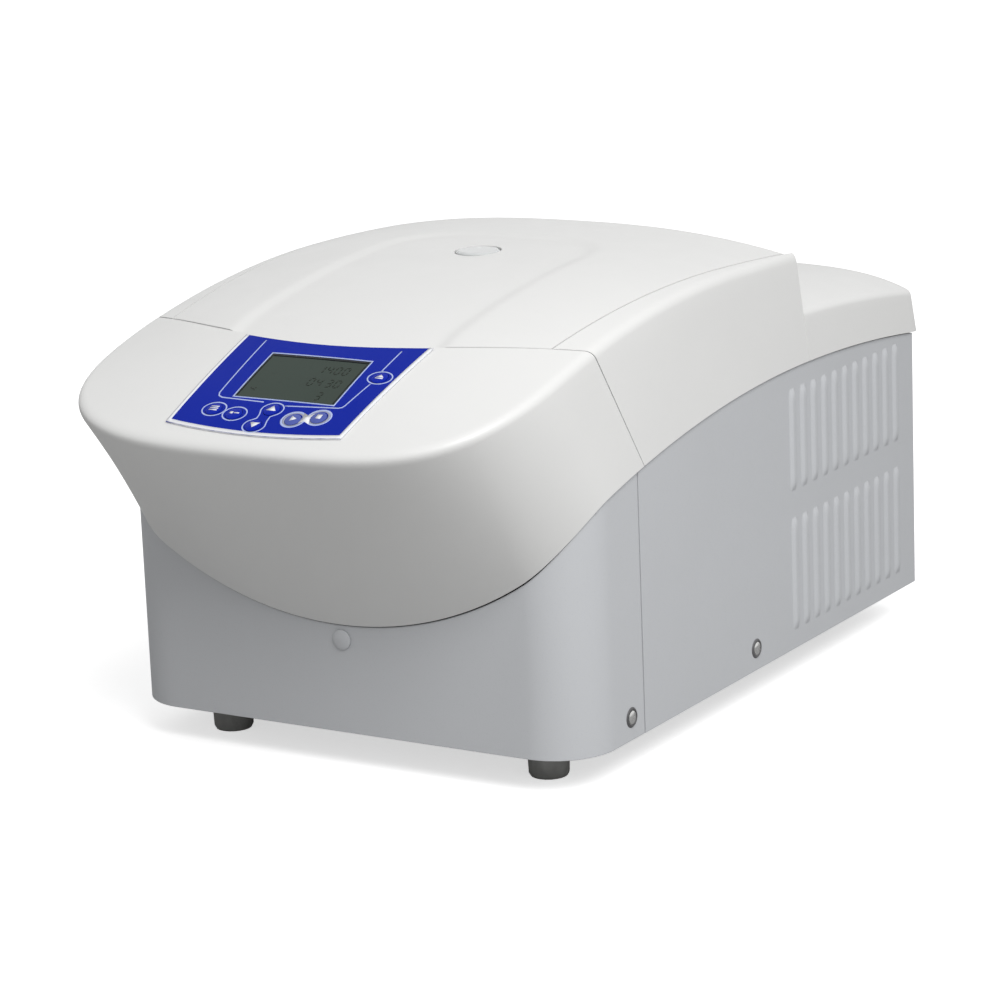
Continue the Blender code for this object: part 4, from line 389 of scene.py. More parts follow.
def add_box(bm, low, high):
    made = bmesh.ops.create_cube(bm, size=1)["verts"]
    bmesh.ops.scale(bm, vec=[b - a for a, b in zip(low, high)], verts=made)
    bmesh.ops.translate(bm, vec=[(a + b) / 2 for a, b in zip(low, high)], verts=made)


def add_rod(bm, radius, start, direction, length, segments=40):
    sizes = {"segments": segments, "radius1": radius, "radius2": radius, "depth": length}
    made = bmesh.ops.create_cone(bm, cap_ends=True, **sizes)["verts"]
    bmesh.ops.translate(bm, vec=(0, 0, length / 2), verts=made)
    turn = Vector(direction).to_track_quat("Z", "Y").to_matrix()
    bmesh.ops.rotate(bm, matrix=turn, verts=made)
    bmesh.ops.translate(bm, vec=start, verts=made)


def plate(points, axis, level):
    """An outline in a plane, extruded along an axis up to a level."""
    bm = bmesh.new()
    face = bm.faces.new([bm.verts.new(p) for p in points])
    for vert in bmesh.ops.extrude_face_region(bm, geom=[face])["geom"]:
        if isinstance(vert, bmesh.types.BMVert):
            vert.co[axis] = level
    bmesh.ops.recalc_face_normals(bm, faces=bm.faces)
    return bm


def flat_shaded(obj):
    for polygon in obj.data.polygons:
        polygon.use_smooth = False


def panel_normal(x, y):
    step = KEY_RADIUS
    along_y = (roof_z(x, y + step) - roof_z(x, y - step)) / (2 * step)
    along_x = (roof_z(x + step, y) - roof_z(x - step, y)) / (2 * step)
    return Vector((-along_x, -along_y, 1)).normalized()


# Materials
class Nodes:
    """A Principled material under construction, in object coordinates (metres)."""

    def __init__(self, name, colour, roughness, metallic=0.0, **sockets):
        self.material = bpy.data.materials.new(name)
        self.material.use_nodes = True
        self.tree = self.material.node_tree
        self.shader = self.tree.nodes["Principled BSDF"]
        self.shader.inputs["Base Color"].default_value = (*colour, 1)
        self.shader.inputs["Roughness"].default_value = roughness
        self.shader.inputs["Metallic"].default_value = metallic
        for socket, value in sockets.items():
            self.shader.inputs[socket.replace("_", " ")].default_value = value
        self.colour = colour
        self.coords = self.tree.nodes.new("ShaderNodeTexCoord").outputs["Object"]

    def noise(self, scale, detail, stretch=None):
        node = self.tree.nodes.new("ShaderNodeTexNoise")
        node.inputs["Scale"].default_value = scale
        node.inputs["Detail"].default_value = detail
        node.inputs["Roughness"].default_value = 0.55
        source = self.coords
        if stretch:
            mapping = self.tree.nodes.new("ShaderNodeMapping")
            mapping.inputs["Scale"].default_value = stretch
            self.tree.links.new(source, mapping.inputs["Vector"])
            source = mapping.outputs["Vector"]
        self.tree.links.new(source, node.inputs["Vector"])
        return node.outputs["Fac"]

    def voronoi(self, scale):
        node = self.tree.nodes.new("ShaderNodeTexVoronoi")
        node.feature = "F1"
        node.inputs["Scale"].default_value = scale
        self.tree.links.new(self.coords, node.inputs["Vector"])
        return node.outputs["Distance"]

    def spread(self, value, low, high, start=0.0, end=1.0):
        node = self.tree.nodes.new("ShaderNodeMapRange")
        node.inputs["From Min"].default_value = low
        node.inputs["From Max"].default_value = high
        node.inputs["To Min"].default_value = start
        node.inputs["To Max"].default_value = end
        self.tree.links.new(value, node.inputs["Value"])
        return node.outputs["Result"]

    def tint(self, factor, other):
        """Mixes another colour in where factor is high."""
        node = self.tree.nodes.new("ShaderNodeMix")
        node.data_type = "RGBA"
        self.tree.links.new(factor, node.inputs["Factor"])
        socket = self.shader.inputs["Base Color"]
        if socket.is_linked:
            self.tree.links.new(socket.links[0].from_socket, node.inputs["A"])
        else:
            node.inputs["A"].default_value = (*self.colour, 1)
        node.inputs["B"].default_value = (*other, 1)
        self.tree.links.new(node.outputs["Result"], socket)
        return self

    def rough(self, factor, low, high):
        self.tree.links.new(self.spread(factor, 0.25, 0.75, low, high), self.shader.inputs["Roughness"])
        return self

    def bump(self, height, distance, strength=1.0):
        node = self.tree.nodes.new("ShaderNodeBump")
        node.inputs["Distance"].default_value = distance
        node.inputs["Strength"].default_value = strength
        self.tree.links.new(height, node.inputs["Height"])
        socket = self.shader.inputs["Normal"]
        if socket.is_linked:
            self.tree.links.new(socket.links[0].from_socket, node.inputs["Normal"])
        self.tree.links.new(node.outputs["Normal"], socket)
        return self


def moulded(name, colour, roughness, grain=1600, dirt=0.012, specular=0.5):
    m = Nodes(name, colour, roughness, Specular_IOR_Level=specular)
    m.tint(m.spread(m.noise(9, 4), 0.35, 0.75), tuple(c * (1 - dirt * 2) for c in colour))
    m.tint(m.spread(m.noise(260, 2), 0.60, 0.85, 0, 0.35), tuple(c * (1 - dirt * 4) for c in colour))
    m.rough(m.noise(45, 3), roughness - 0.05, roughness + 0.06)
    m.bump(m.noise(grain, 2), 0.00004, 0.35)
    m.bump(m.noise(35, 2), 0.0004, 0.05)
    return m.material


def painted(name, colour, roughness):
    m = Nodes(name, colour, roughness)
    m.tint(m.spread(m.noise(7, 4), 0.35, 0.75), tuple(c * 0.975 for c in colour))
    m.tint(m.spread(m.noise(1400, 1), 0.62, 0.74, 0, 0.35), tuple(c * 0.82 for c in colour))
    m.rough(m.noise(60, 3), roughness - 0.06, roughness + 0.08)
    m.bump(m.noise(420, 3), 0.00008, 0.30)
    return m.material


def brushed(name, colour, roughness, stretch=(1, 1, 60)):
    m = Nodes(name, colour, roughness, 1.0)
    lines = m.noise(90, 4, stretch)
    m.tint(m.spread(lines, 0.3, 0.8), tuple(c * 0.80 for c in colour))
    m.rough(lines, roughness - 0.08, roughness + 0.12)
    m.bump(lines, 0.00003, 0.5)
    m.tint(m.spread(m.noise(25, 4), 0.55, 0.85, 0, 0.5), tuple(c * 0.85 for c in colour))
    return m.material


def rubber(name, colour, roughness=0.7):
    m = Nodes(name, colour, roughness)
    m.tint(m.spread(m.noise(60, 4), 0.45, 0.8), tuple(min(c * 1.5 + 0.01, 1) for c in colour))
    m.rough(m.noise(120, 3), roughness - 0.08, roughness + 0.12)
    m.bump(m.noise(1200, 2), 0.00006, 0.4)
    return m.material


def spangled(name, colour):
    m = Nodes(name, colour, 0.42, 1.0)
    cells = m.voronoi(70)
    m.tint(m.spread(cells, 0.1, 0.7), tuple(c * 0.78 for c in colour))
    m.rough(m.noise(90, 2), 0.32, 0.5)
    m.bump(m.noise(500, 2), 0.00004, 0.4)
    return m.material


def foamed(name, colour):
    m = Nodes(name, colour, 0.9)
    cells = m.voronoi(650)
    m.tint(m.spread(cells, 0.2, 0.9), tuple(c * 0.7 for c in colour))
    m.bump(cells, 0.0004, 0.7)
    m.bump(m.noise(40, 4), 0.0015, 0.4)
    return m.material


def board(name, colour):
    m = Nodes(name, colour, 0.4)
    m.tint(m.spread(m.voronoi(320), 0.05, 0.12, 1, 0), (0.55, 0.47, 0.20))
    m.tint(m.spread(m.noise(160, 2), 0.52, 0.60, 0, 0.6), tuple(c * 1.9 for c in colour))
    m.bump(m.noise(700, 2), 0.00005, 0.4)
    return m.material


def glassy(name, colour, roughness=0.10):
    m = Nodes(name, colour, roughness, Transmission_Weight=0.3, IOR=1.49)
    m.rough(m.noise(30, 3), roughness - 0.03, roughness + 0.05)
    m.bump(m.noise(14, 2), 0.0003, 0.08)
    return m.material


WHITE = moulded("white_moulded_plastic", (0.775, 0.775, 0.765), 0.40)
WHITE_INNER = moulded("white_inner_plastic", (0.72, 0.72, 0.705), 0.45)
GREY = painted("grey_painted_housing", (0.575, 0.588, 0.608), 0.46)
BLUE = moulded("blue_keypad_film", (0.0035, 0.018, 0.33), 0.36, grain=1100, dirt=0.05, specular=0.04)
BLUE_KEY = moulded("blue_key_film", (0.005, 0.020, 0.36), 0.38, grain=1100, dirt=0.05, specular=0.06)
START_KEY = moulded("grey_blue_key_film", (0.09, 0.12, 0.40), 0.38, grain=1100, dirt=0.05, specular=0.06)
PRINT_GREY = moulded("grey_print", (0.30, 0.32, 0.42), 0.45, grain=900)
PRINT_WHITE = moulded("white_print", (0.80, 0.81, 0.84), 0.45, grain=900)
PRINT_BLUE = moulded("light_blue_print", (0.42, 0.50, 0.80), 0.45, grain=900)
LCD = moulded("display_screen", (0.046, 0.062, 0.052), 0.22, grain=500, dirt=0.06, specular=0.05)
LCD_SEGMENT = moulded("display_segments", (0.020, 0.027, 0.020), 0.3, grain=500, specular=0.05)
# painted shadow of the screen's recess, laid as dark bands along the screen's edges
LCD_RECESS_PAINTED_SHADOW = moulded("display_recess_painted_shadow", (0.008, 0.010, 0.012), 0.3, grain=500, specular=0.05)
# the clear window's pale, mostly opaque base colour is a painted reflection of the white surroundings; only
# a share of the light passes through
CLEAR_WITH_PAINTED_REFLECTION = glassy("clear_window_painted_reflection", (0.84, 0.86, 0.86))
FOOT = rubber("grey_rubber_foot", (0.30, 0.30, 0.29))
# painted shade of the dimples round the side screws, laid as shallow dark rings
DIMPLE_SHADE = rubber("painted_dimple_shade", (0.085, 0.085, 0.088), 0.5)
RING = painted("light_ring_paint", (0.66, 0.67, 0.68), 0.46)
RUBBER = rubber("black_rubber_seal", (0.022, 0.022, 0.022))
STEEL = brushed("brushed_stainless_steel", (0.62, 0.62, 0.61), 0.28)
BRIGHT = brushed("bright_screw_steel", (0.70, 0.70, 0.69), 0.25, (1, 1, 1))
ZINC = spangled("zinc_plated_sheet", (0.58, 0.59, 0.60))
ALUMINIUM = brushed("anodised_rotor_aluminium", (0.43, 0.45, 0.49), 0.32)
COPPER = brushed("drawn_copper_tube", (0.78, 0.42, 0.27), 0.27, (1, 1, 1))
FOAM = foamed("insulation_foam", (0.70, 0.64, 0.44))
ENAMEL = painted("black_enamel", (0.022, 0.022, 0.024), 0.36)
BOARD = board("circuit_board", (0.015, 0.13, 0.055))
DARK = moulded("dark_moulded_plastic", (0.040, 0.040, 0.043), 0.5, grain=900, dirt=0.1)


def finish_node(name, material, edge):
    """Gives a CAD node its material and smooth shading; its own mesh stays as it is."""
    obj = NODES[name]
    obj.data.materials.clear()
    obj.data.materials.append(material)
    for polygon in obj.data.polygons:
        polygon.material_index = 0
        polygon.use_smooth = True
    merge = obj.modifiers.new("joined points", "WELD")
    merge.merge_threshold = 0.00001
    if edge:
        round_edges(obj, edge, 2, 45, False)
    split = obj.modifiers.new("sharp edges", "EDGE_SPLIT")
    split.split_angle = math.radians(32)


# White covers
def fascia():
    half_front, side, rounding, straight = 30, 30, 10, 10
    corner_share = 0.56
    shares = [corner_share * k / half_front for k in range(half_front + 1)]
    shares += [corner_share + (1 - corner_share) * k / side for k in range(1, side + 1)]
    right = [nose_strand(share, rounding, straight) for share in shares]
    left = [[mirrored(p) for p in strand] for strand in right]
    strands = left[:0:-1] + right
    front = [s[0] for s in strands[side : side + 2 * half_front + 1]]
    left_edge = [s[0] for s in strands[side::-1]]
    right_edge = [s[0] for s in strands[side + 2 * half_front :]]
    ends = left_edge[-1], right_edge[-1]
    rear = []
    for k in range(2 * half_front + 1):
        x = ends[0].x + (ends[1].x - ends[0].x) * k / (2 * half_front)
        rear.append(Vector((x, seam_y(x) - SEAM / 2, 0)))
    rear[0], rear[-1] = ends
    bm = bmesh.new()
    rows = []
    for row in coons(front, rear, left_edge, right_edge):
        rows.append([bm.verts.new((p.x, p.y, roof_z(p.x, p.y))) for p in row])
    grid_faces(bm, rows)
    boundary = [row[0] for row in rows[:0:-1]] + rows[0] + [row[-1] for row in rows[1:]]
    walls = [boundary]
    for depth in range(1, len(strands[0])):
        walls.append([bm.verts.new(strand[depth]) for strand in strands])
    grid_faces(bm, walls)
    orient(bm, (0, SPIN_Y, HOUSING_BASE_Z))
    obj = new_piece("fascia_cover", bm, WHITE, "housing", ["front_fascia"])
    shell(obj, COVER_SKIN, 0)
    holes = bmesh.new()
    low_z, high_z = 0.23, 0.30
    ledge = 0.0025
    half = SCREEN_HALF - ledge
    front_y = SCREEN_REAR_Y - SCREEN_DEPTH
    low = (SCREEN_X - half, front_y + ledge, low_z)
    high = (SCREEN_X + half, SCREEN_REAR_Y - ledge, high_z)
    add_box(holes, low, high)
    for x, y in KEYS.values():
        normal = panel_normal(x, y)
        start = Vector((x, y, roof_z(x, y))) - normal * KEY_HOLE_REACH
        add_rod(holes, KEY_RADIUS + GAP, start, normal, 2 * KEY_HOLE_REACH)
    cut(obj, cutter("fascia_holes", holes))
    round_edges(obj, 0.0007, 2, 55)


def lid():
    columns, rows_back = 96, 90
    flat_rear = TALL_REAR_Y - LID_REAR_ROUND
    bm = bmesh.new()
    rows = []
    for j in range(rows_back + 1):
        row = []
        for i in range(columns + 1):
            share = -1 + 2 * i / columns
            front = seam_y(share * LID_HALF_FRONT) + SEAM / 2
            y = front + (flat_rear - front) * j / rows_back
            x = share * lid_half(y)
            row.append(bm.verts.new((x, y, lid_z(x, y))))
        rows.append(row)
    steps = 8
    for k in range(1, steps + 1):
        row = []
        for i in range(columns + 1):
            share = -1 + 2 * i / columns
            x = share * lid_half(TALL_REAR_Y)
            inner = Vector((x, flat_rear, roof_z(x, flat_rear)))
            rim = Vector((x, TALL_REAR_Y, roof_z(x, TALL_REAR_Y)))
            down = rim - Vector((0, 0, LID_REAR_ROUND))
            row.append(bm.verts.new(bezier(inner, rim, down, k / steps)))
        rows.append(row)
    grid_faces(bm, rows)
    boundary = [edge for edge in bm.edges if edge.is_boundary]
    grown = bmesh.ops.extrude_edge_only(bm, edges=boundary)["geom"]
    middle_y = (SEAM_FRONT_Y + TALL_REAR_Y) / 2
    edge_band, fade_from, fade = 0.004, 0.001, 0.02
    for vert in grown:
        if isinstance(vert, bmesh.types.BMVert):
            y = vert.co.y
            if abs(vert.co.x) > lid_half(y) - edge_band:
                vert.co.x -= math.copysign(LID_DRAFT, vert.co.x)
            if y < middle_y:
                vert.co.y += LID_DRAFT * (1 - smoothstep((y - seam_y(vert.co.x) - fade_from) / fade))
            vert.co.z = LID_BASE_Z
    orient(bm, (0, SPIN_Y, LID_BASE_Z))
    obj = new_piece("lid_cover", bm, WHITE, "lid", ["lid_shell"])
    shell(obj, COVER_SKIN, 0.0007)
    holes = bmesh.new()
    ahead, margin = 0.005, 0.004
    for side in (-1, 1):
        xs = sorted((side * NOTCH_INNER_X, side * NOTCH_OUTER_X))
        low = (xs[0], TALL_REAR_Y - ahead, LID_BASE_Z - margin)
        add_box(holes, low, (xs[1], TALL_REAR_Y + margin, NOTCH_TOP_Z))
    low_z, length = 0.27, 0.06
    add_rod(holes, SIGHT_RADIUS + SIGHT_GAP, (0, SPIN_Y, low_z), (0, 0, 1), length, 64)
    cut(obj, cutter("lid_holes", holes))


def deck_top(x, y):
    fall = arc_fall(DECK_APEX_Y - y, DECK_RADIUS, DECK_RADIUS)
    return DECK_APEX_Z - fall + DECK_CROWN * (1 - abs(x / DECK_HALF) ** DECK_CROWN_POWER)


def deck():
    """Rear deck with rounded top edges and rounded upright rear corners."""
    across, back, arc, rounding, straight = 64, 24, 12, 8, 6
    front_y = RAIL_REAR_Y + 0.0005
    corner = DECK_REAR_Y - CORNER_ROUND
    flat = DECK_HALF - CORNER_ROUND
    path = [(DECK_HALF, front_y + (corner - front_y) * k / back, 0) for k in range(back + 1)]
    for k in range(1, arc + 1):
        angle = math.pi / 2 * k / arc
        x = flat + CORNER_ROUND * math.cos(angle)
        y = corner + CORNER_ROUND * math.sin(angle)
        path.append((x, y, angle))
    for k in range(1, across // 2 + 1):
        path.append((flat * (1 - 2 * k / across), DECK_REAR_Y, math.pi / 2))
    path += [(-x, y, math.pi - angle) for x, y, angle in path[-2::-1]]
    strands = []
    for x, y, angle in path:
        normal = Vector((math.cos(angle), math.sin(angle), 0))
        rim = Vector((x, y, deck_top(x, y)))
        inner = rim - normal * DECK_ROUND
        inner.z = deck_top(inner.x, inner.y)
        lean_x = DECK_FOOT_HALF - DECK_HALF
        lean_y = HOUSING_DEPTH + DECK_FOOT_REACH + DECK_OVERHANG - DECK_REAR_Y
        foot = rim + Vector((normal.x * lean_x, max(normal.y, 0) * lean_y, 0))
        foot.z = edge_side_z(min(foot.y, HOUSING_DEPTH))
        strands.append([inner] + wall_rows(inner, rim, foot, DECK_ROUND, rounding, straight))
    inner = [strand[0] for strand in strands]
    first = back + arc // 2
    last = len(inner) - 1 - first
    right = inner[: first + 1]
    rear = inner[first : last + 1][::-1]
    left = inner[last:][::-1]
    count = len(rear) - 1
    front = [left[0].lerp(right[0], k / count) for k in range(count + 1)]
    bm = bmesh.new()
    rows = []
    for row in coons(front, rear, left, right):
        rows.append([bm.verts.new((p.x, p.y, deck_top(p.x, p.y))) for p in row])
    grid_faces(bm, rows)
    boundary = [row[-1] for row in rows] + rows[-1][-2::-1] + [row[0] for row in rows[-2::-1]]
    walls = [boundary]
    for depth in range(1, len(strands[0])):
        walls.append([bm.verts.new(strand[depth]) for strand in strands])
    grid_faces(bm, walls)
    orient(bm, (0, DECK_REAR_Y - CORNER_ROUND, HOUSING_BASE_Z))
    obj = new_piece("deck_cover", bm, WHITE, "housing", ["top_cover"])
    shell(obj, COVER_SKIN, 0.0006)


def rail(side):
    rows_back, rounding, straight, roof_steps = 60, 8, 8, 4
    widest = 0.8  # share of the roof strip that the rounding may take
    bm = bmesh.new()
    rows = []
    for j in range(rows_back + 1):
        v = j / rows_back
        rim_y = RIM_FRONT_Y + SEAM / 2 + (RAIL_REAR_Y - RIM_FRONT_Y - SEAM / 2) * v
        rim_x = RIM_HALF + (RIM_HALF_REAR - RIM_HALF) * v
        edge_front = seam_y(LID_HALF_FRONT + SEAM) + SEAM / 2
        edge_y = edge_front + (RAIL_REAR_Y - edge_front) * v
        edge_x = lid_half(edge_y) + SEAM
        inner_front = seam_y(RIM_HALF - RIM_ROUND) + SEAM / 2
        rounding_in = min(RIM_ROUND, (rim_x - edge_x) * widest)
        inner = Vector((rim_x - rounding_in, inner_front + (RAIL_REAR_Y - inner_front) * v, 0))
        inner.z = roof_z(inner.x, inner.y)
        rim = Vector((rim_x, rim_y, roof_z(rim_x, rim_y)))
        foot_y = WALL_FOOT_FRONT_Y + SEAM / 2 + (RAIL_REAR_Y - WALL_FOOT_FRONT_Y - SEAM / 2) * v
        foot = waist(waist_distance(foot_y), COVER_PROUD)
        edge = Vector((edge_x, edge_y, roof_z(edge_x, edge_y)))
        strand = []
        for k in range(roof_steps):
            p = edge.lerp(inner, k / roof_steps)
            strand.append(Vector((p.x, p.y, roof_z(p.x, p.y))))
        strand.append(inner)
        strand += wall_rows(inner, rim, foot, RIM_ROUND, rounding, straight)
        rows.append([bm.verts.new((side * p.x, p.y, p.z)) for p in strand])
    grid_faces(bm, rows)
    orient(bm, (0, SPIN_Y, HOUSING_BASE_Z))
    word = "left" if side < 0 else "right"
    obj = new_piece(f"rail_cover_{word}", bm, WHITE, "housing")
    shell(obj, COVER_SKIN, 0.0009)


def step_plate():
    """Upright plate between the rails and the deck."""
    low_z = edge_side_z(TALL_REAR_Y) + EDGE_GAP
    top_half = DECK_HALF - DECK_ROUND
    sunk = 0.0003
    steps = 24
    right = []
    for k in range(steps + 1):
        x = top_half * k / steps
        right.append((x, deck_top(x, STEP_Y) - sunk))
    inner = Vector((top_half, 0, deck_top(top_half, STEP_Y)))
    rim = Vector((DECK_HALF, 0, deck_top(DECK_HALF, STEP_Y)))
    foot = Vector((DECK_FOOT_HALF, 0, low_z))
    down = rim + (foot - rim).normalized() * DECK_ROUND
    rounding = 6
    for k in range(1, rounding + 1):
        p = bezier(inner, rim, down, k / rounding)
        right.append((p.x - sunk, p.z - sunk))
    right += [(DECK_FOOT_HALF - sunk, low_z), (HOUSING_HALF - COVER_SKIN, low_z)]
    right.append((RIM_HALF_REAR - COVER_SKIN, TUB_TOP_Z + GAP))
    outline = [(-x, z) for x, z in right[:0:-1]] + right
    bm = plate([(x, STEP_Y, z) for x, z in outline], 1, STEP_Y + COVER_SKIN)
    flat_shaded(new_piece("deck_step", bm, WHITE, "housing"))


# Grey front
def front_housing():
    end = waist_distance(SIDE_SEAM_Y)
    flat = HOUSING_HALF - HOUSING_CORNER
    turn = HOUSING_CORNER * math.pi / 2
    across, back, up = 24, 8, 4
    stops = [flat * k / across for k in range(across + 1)]
    stops += [flat + turn * k / across for k in range(1, across + 1)]
    stops += [flat + turn + (end - flat - turn) * k / back for k in range(1, back + 1)]
    right = [waist(s) for s in stops]
    top = [mirrored(p) for p in right[:0:-1]] + right
    bm = bmesh.new()
    rows = []
    for k in range(up + 1):
        row = []
        for p in top:
            z = HOUSING_BASE_Z + (p.z - EDGE_GAP - HOUSING_BASE_Z) * k / up
            row.append(bm.verts.new((p.x, p.y, z)))
        rows.append(row)
    grid_faces(bm, rows)
    orient(bm, (0, SPIN_Y, HOUSING_BASE_Z))
    obj = new_piece("front_cover", bm, GREY, "housing", ["front_housing"])
    shell(obj, HOUSING_WALL, 0.0005)
    holes = bmesh.new()
    reach = 0.006
    add_rod(holes, PLUG_OPENING, (0, -reach, PLUG_Z), (0, 1, 0), 2 * reach)
    cut(obj, cutter("plug_opening", holes))


def side_panel(side):
    """Flat grey side with slots cut through it."""
    word = "left" if side < 0 else "right"
    front, rear, steps = SIDE_SEAM_Y + SEAM, HOUSING_DEPTH, 40
    top = []
    for k in range(steps + 1):
        y = rear + (front - rear) * k / steps
        top.append((y, edge_side_z(y) - EDGE_GAP))
    outline = [(front, HOUSING_BASE_Z), (rear, HOUSING_BASE_Z)] + top
    outer, reach = side * HOUSING_HALF, 0.006
    inner = side * (HOUSING_HALF - HOUSING_WALL)
    bm = plate([(inner, y, z) for y, z in outline], 0, outer)
    obj = new_piece(f"side_cover_{word}", bm, GREY, "housing", [f"side_panel_{word}"])
    flat_shaded(obj)
    slots = bmesh.new()
    for low_z, high_z in LOUVRE_ROWS:
        for k in range(LOUVRES):
            y = LOUVRE_FIRST_Y + LOUVRE_PITCH * k
            low = (outer - reach, y - SLOT_AHEAD, low_z + SLOT_SHORT)
            high = (outer + reach, y + SLOT_BEHIND, high_z - SLOT_SHORT)
            add_box(slots, low, high)
    add_rod(slots, SCREW_SHANK, (outer - reach, SCREW_YS[1], SCREW_Z), (1, 0, 0), 2 * reach, 24)
    cut(obj, cutter(f"side_slots_{word}", slots))
    round_edges(obj, 0.0004, 2, 50)


def louvre_hoods(side):
    """Pressed hoods, which rise gently from the front, fall away at the rear and run out at both ends."""
    word = "left" if side < 0 else "right"
    bm = bmesh.new()
    across, along_z = 14, 26
    for low_z, high_z in LOUVRE_ROWS:
        for k in range(LOUVRES):
            rear = LOUVRE_FIRST_Y + LOUVRE_PITCH * k + HOOD_REAR
            rows = []
            for j in range(along_z + 1):
                v = j / along_z
                z = low_z + (high_z - low_z) * (v - math.sin(4 * math.pi * v) / (5 * math.pi))
                run = smoothstep(min(z - low_z, high_z - z) / HOOD_RUN_OUT)
                row = []
                for i in range(across + 1):
                    u = i / across
                    fall = HOOD_FALL * smoothstep((u - HOOD_FALL_FROM) / (1 - HOOD_FALL_FROM))
                    rise = smoothstep(u / HOOD_RISE_SHARE) * (1 - fall)
                    x = HOUSING_HALF + LOUVRE_PROUD * rise * run - HOOD_SUNK
                    row.append(bm.verts.new((side * x, rear - LOUVRE_WIDTH * (1 - u), z)))
                rows.append(row)
            grid_faces(bm, rows)
    bmesh.ops.recalc_face_normals(bm, faces=bm.faces)
    bm.faces.ensure_lookup_table()
    if sum(face.normal.x * face.calc_area() for face in bm.faces) * side < 0:
        bmesh.ops.reverse_faces(bm, faces=bm.faces)
    obj = new_piece(f"louvres_{word}", bm, GREY, "housing")
    shell(obj, LOUVRE_THICK, 0)


# Keypad print, laid over the film at a height that follows the panel's slope
LIFT = GAP * PANEL_LEAN + OVERLAY_THICK / math.cos(math.atan(PANEL_SLOPE)) + PRINT_LIFT


def draped(x, y, lift):
    return (x, y, roof_z(x, y) + lift)


def overlay_rear(x):
    return seam_y(x) - OVERLAY_TOP_MARGIN


def overlay_front(x):
    half = (OVERLAY_LEFT + OVERLAY_RIGHT_FRONT) / 2
    middle = OVERLAY_RIGHT_FRONT - half
    return OVERLAY_FRONT_Y - OVERLAY_BOW * (1 - ((x - middle) / half) ** 2)


def ribbon(bm, points, width, closed=False, lift=LIFT, thick=PRINT_THICK):
    """A printed line of a given width, laid over the panel."""
    longest, tightest, nothing = 0.003, 0.4, 1e-9
    fine = []
    pairs = list(zip(points, points[1:] + points[:1])) if closed else list(zip(points, points[1:]))
    for a, b in pairs:
        a, b = Vector(a), Vector(b)
        steps = max(1, math.ceil((b - a).length / longest))
        fine += [a.lerp(b, k / steps) for k in range(steps)]
    if not closed:
        fine.append(Vector(points[-1]))
    rows = []
    n = len(fine)
    for k, p in enumerate(fine):
        before = fine[k - 1] if k or closed else p
        after = fine[(k + 1) % n] if k < n - 1 or closed else p
        a, b = (p - before), (after - p)
        if a.length < nothing:
            a = b
        if b.length < nothing:
            b = a
        a, b = a.normalized(), b.normalized()
        way = (a + b).normalized()
        side = Vector((-way.y, way.x)) * (width / 2) / max(way.dot(a), tightest)
        rows.append((p + side, p - side))
    top = [[bm.verts.new(draped(*s, lift)) for s in row] for row in rows]
    low = [[bm.verts.new(draped(*s, lift - thick)) for s in row] for row in rows]
    count = n if closed else n - 1
    for k in range(count):
        m = (k + 1) % n
        bm.faces.new((top[k][0], top[k][1], top[m][1], top[m][0]))
        bm.faces.new((low[k][1], low[k][0], low[m][0], low[m][1]))
        bm.faces.new((top[k][1], low[k][1], low[m][1], top[m][1]))
        bm.faces.new((low[k][0], top[k][0], top[m][0], low[m][0]))
    if not closed:
        bm.faces.new((top[0][1], top[0][0], low[0][0], low[0][1]))
        bm.faces.new((top[-1][0], top[-1][1], low[-1][1], low[-1][0]))


def blob(bm, points, lift):
    """A small filled printed shape."""
    top = [bm.verts.new(draped(x, y, lift)) for x, y in points]
    low = [bm.verts.new(draped(x, y, lift - PRINT_THICK)) for x, y in points]
    bm.faces.new(top)
    bm.faces.new(low[::-1])
    n = len(points)
    for k in range(n):
        m = (k + 1) % n
        bm.faces.new((top[m], top[k], low[k], low[m]))


def oval(x, y, across, along_y, low=0, high=360, count=40):
    """Points of an ellipse between two angles; a whole one leaves out its last point."""
    total = count if high - low >= 360 else count + 1
    angles = [math.radians(low + (high - low) * k / count) for k in range(total)]
    return [(x + across * math.cos(a), y + along_y * math.sin(a)) for a in angles]


def print_piece(name, bm, material, body="housing"):
    bmesh.ops.recalc_face_normals(bm, faces=bm.faces)
    new_piece(name, bm, material, body)


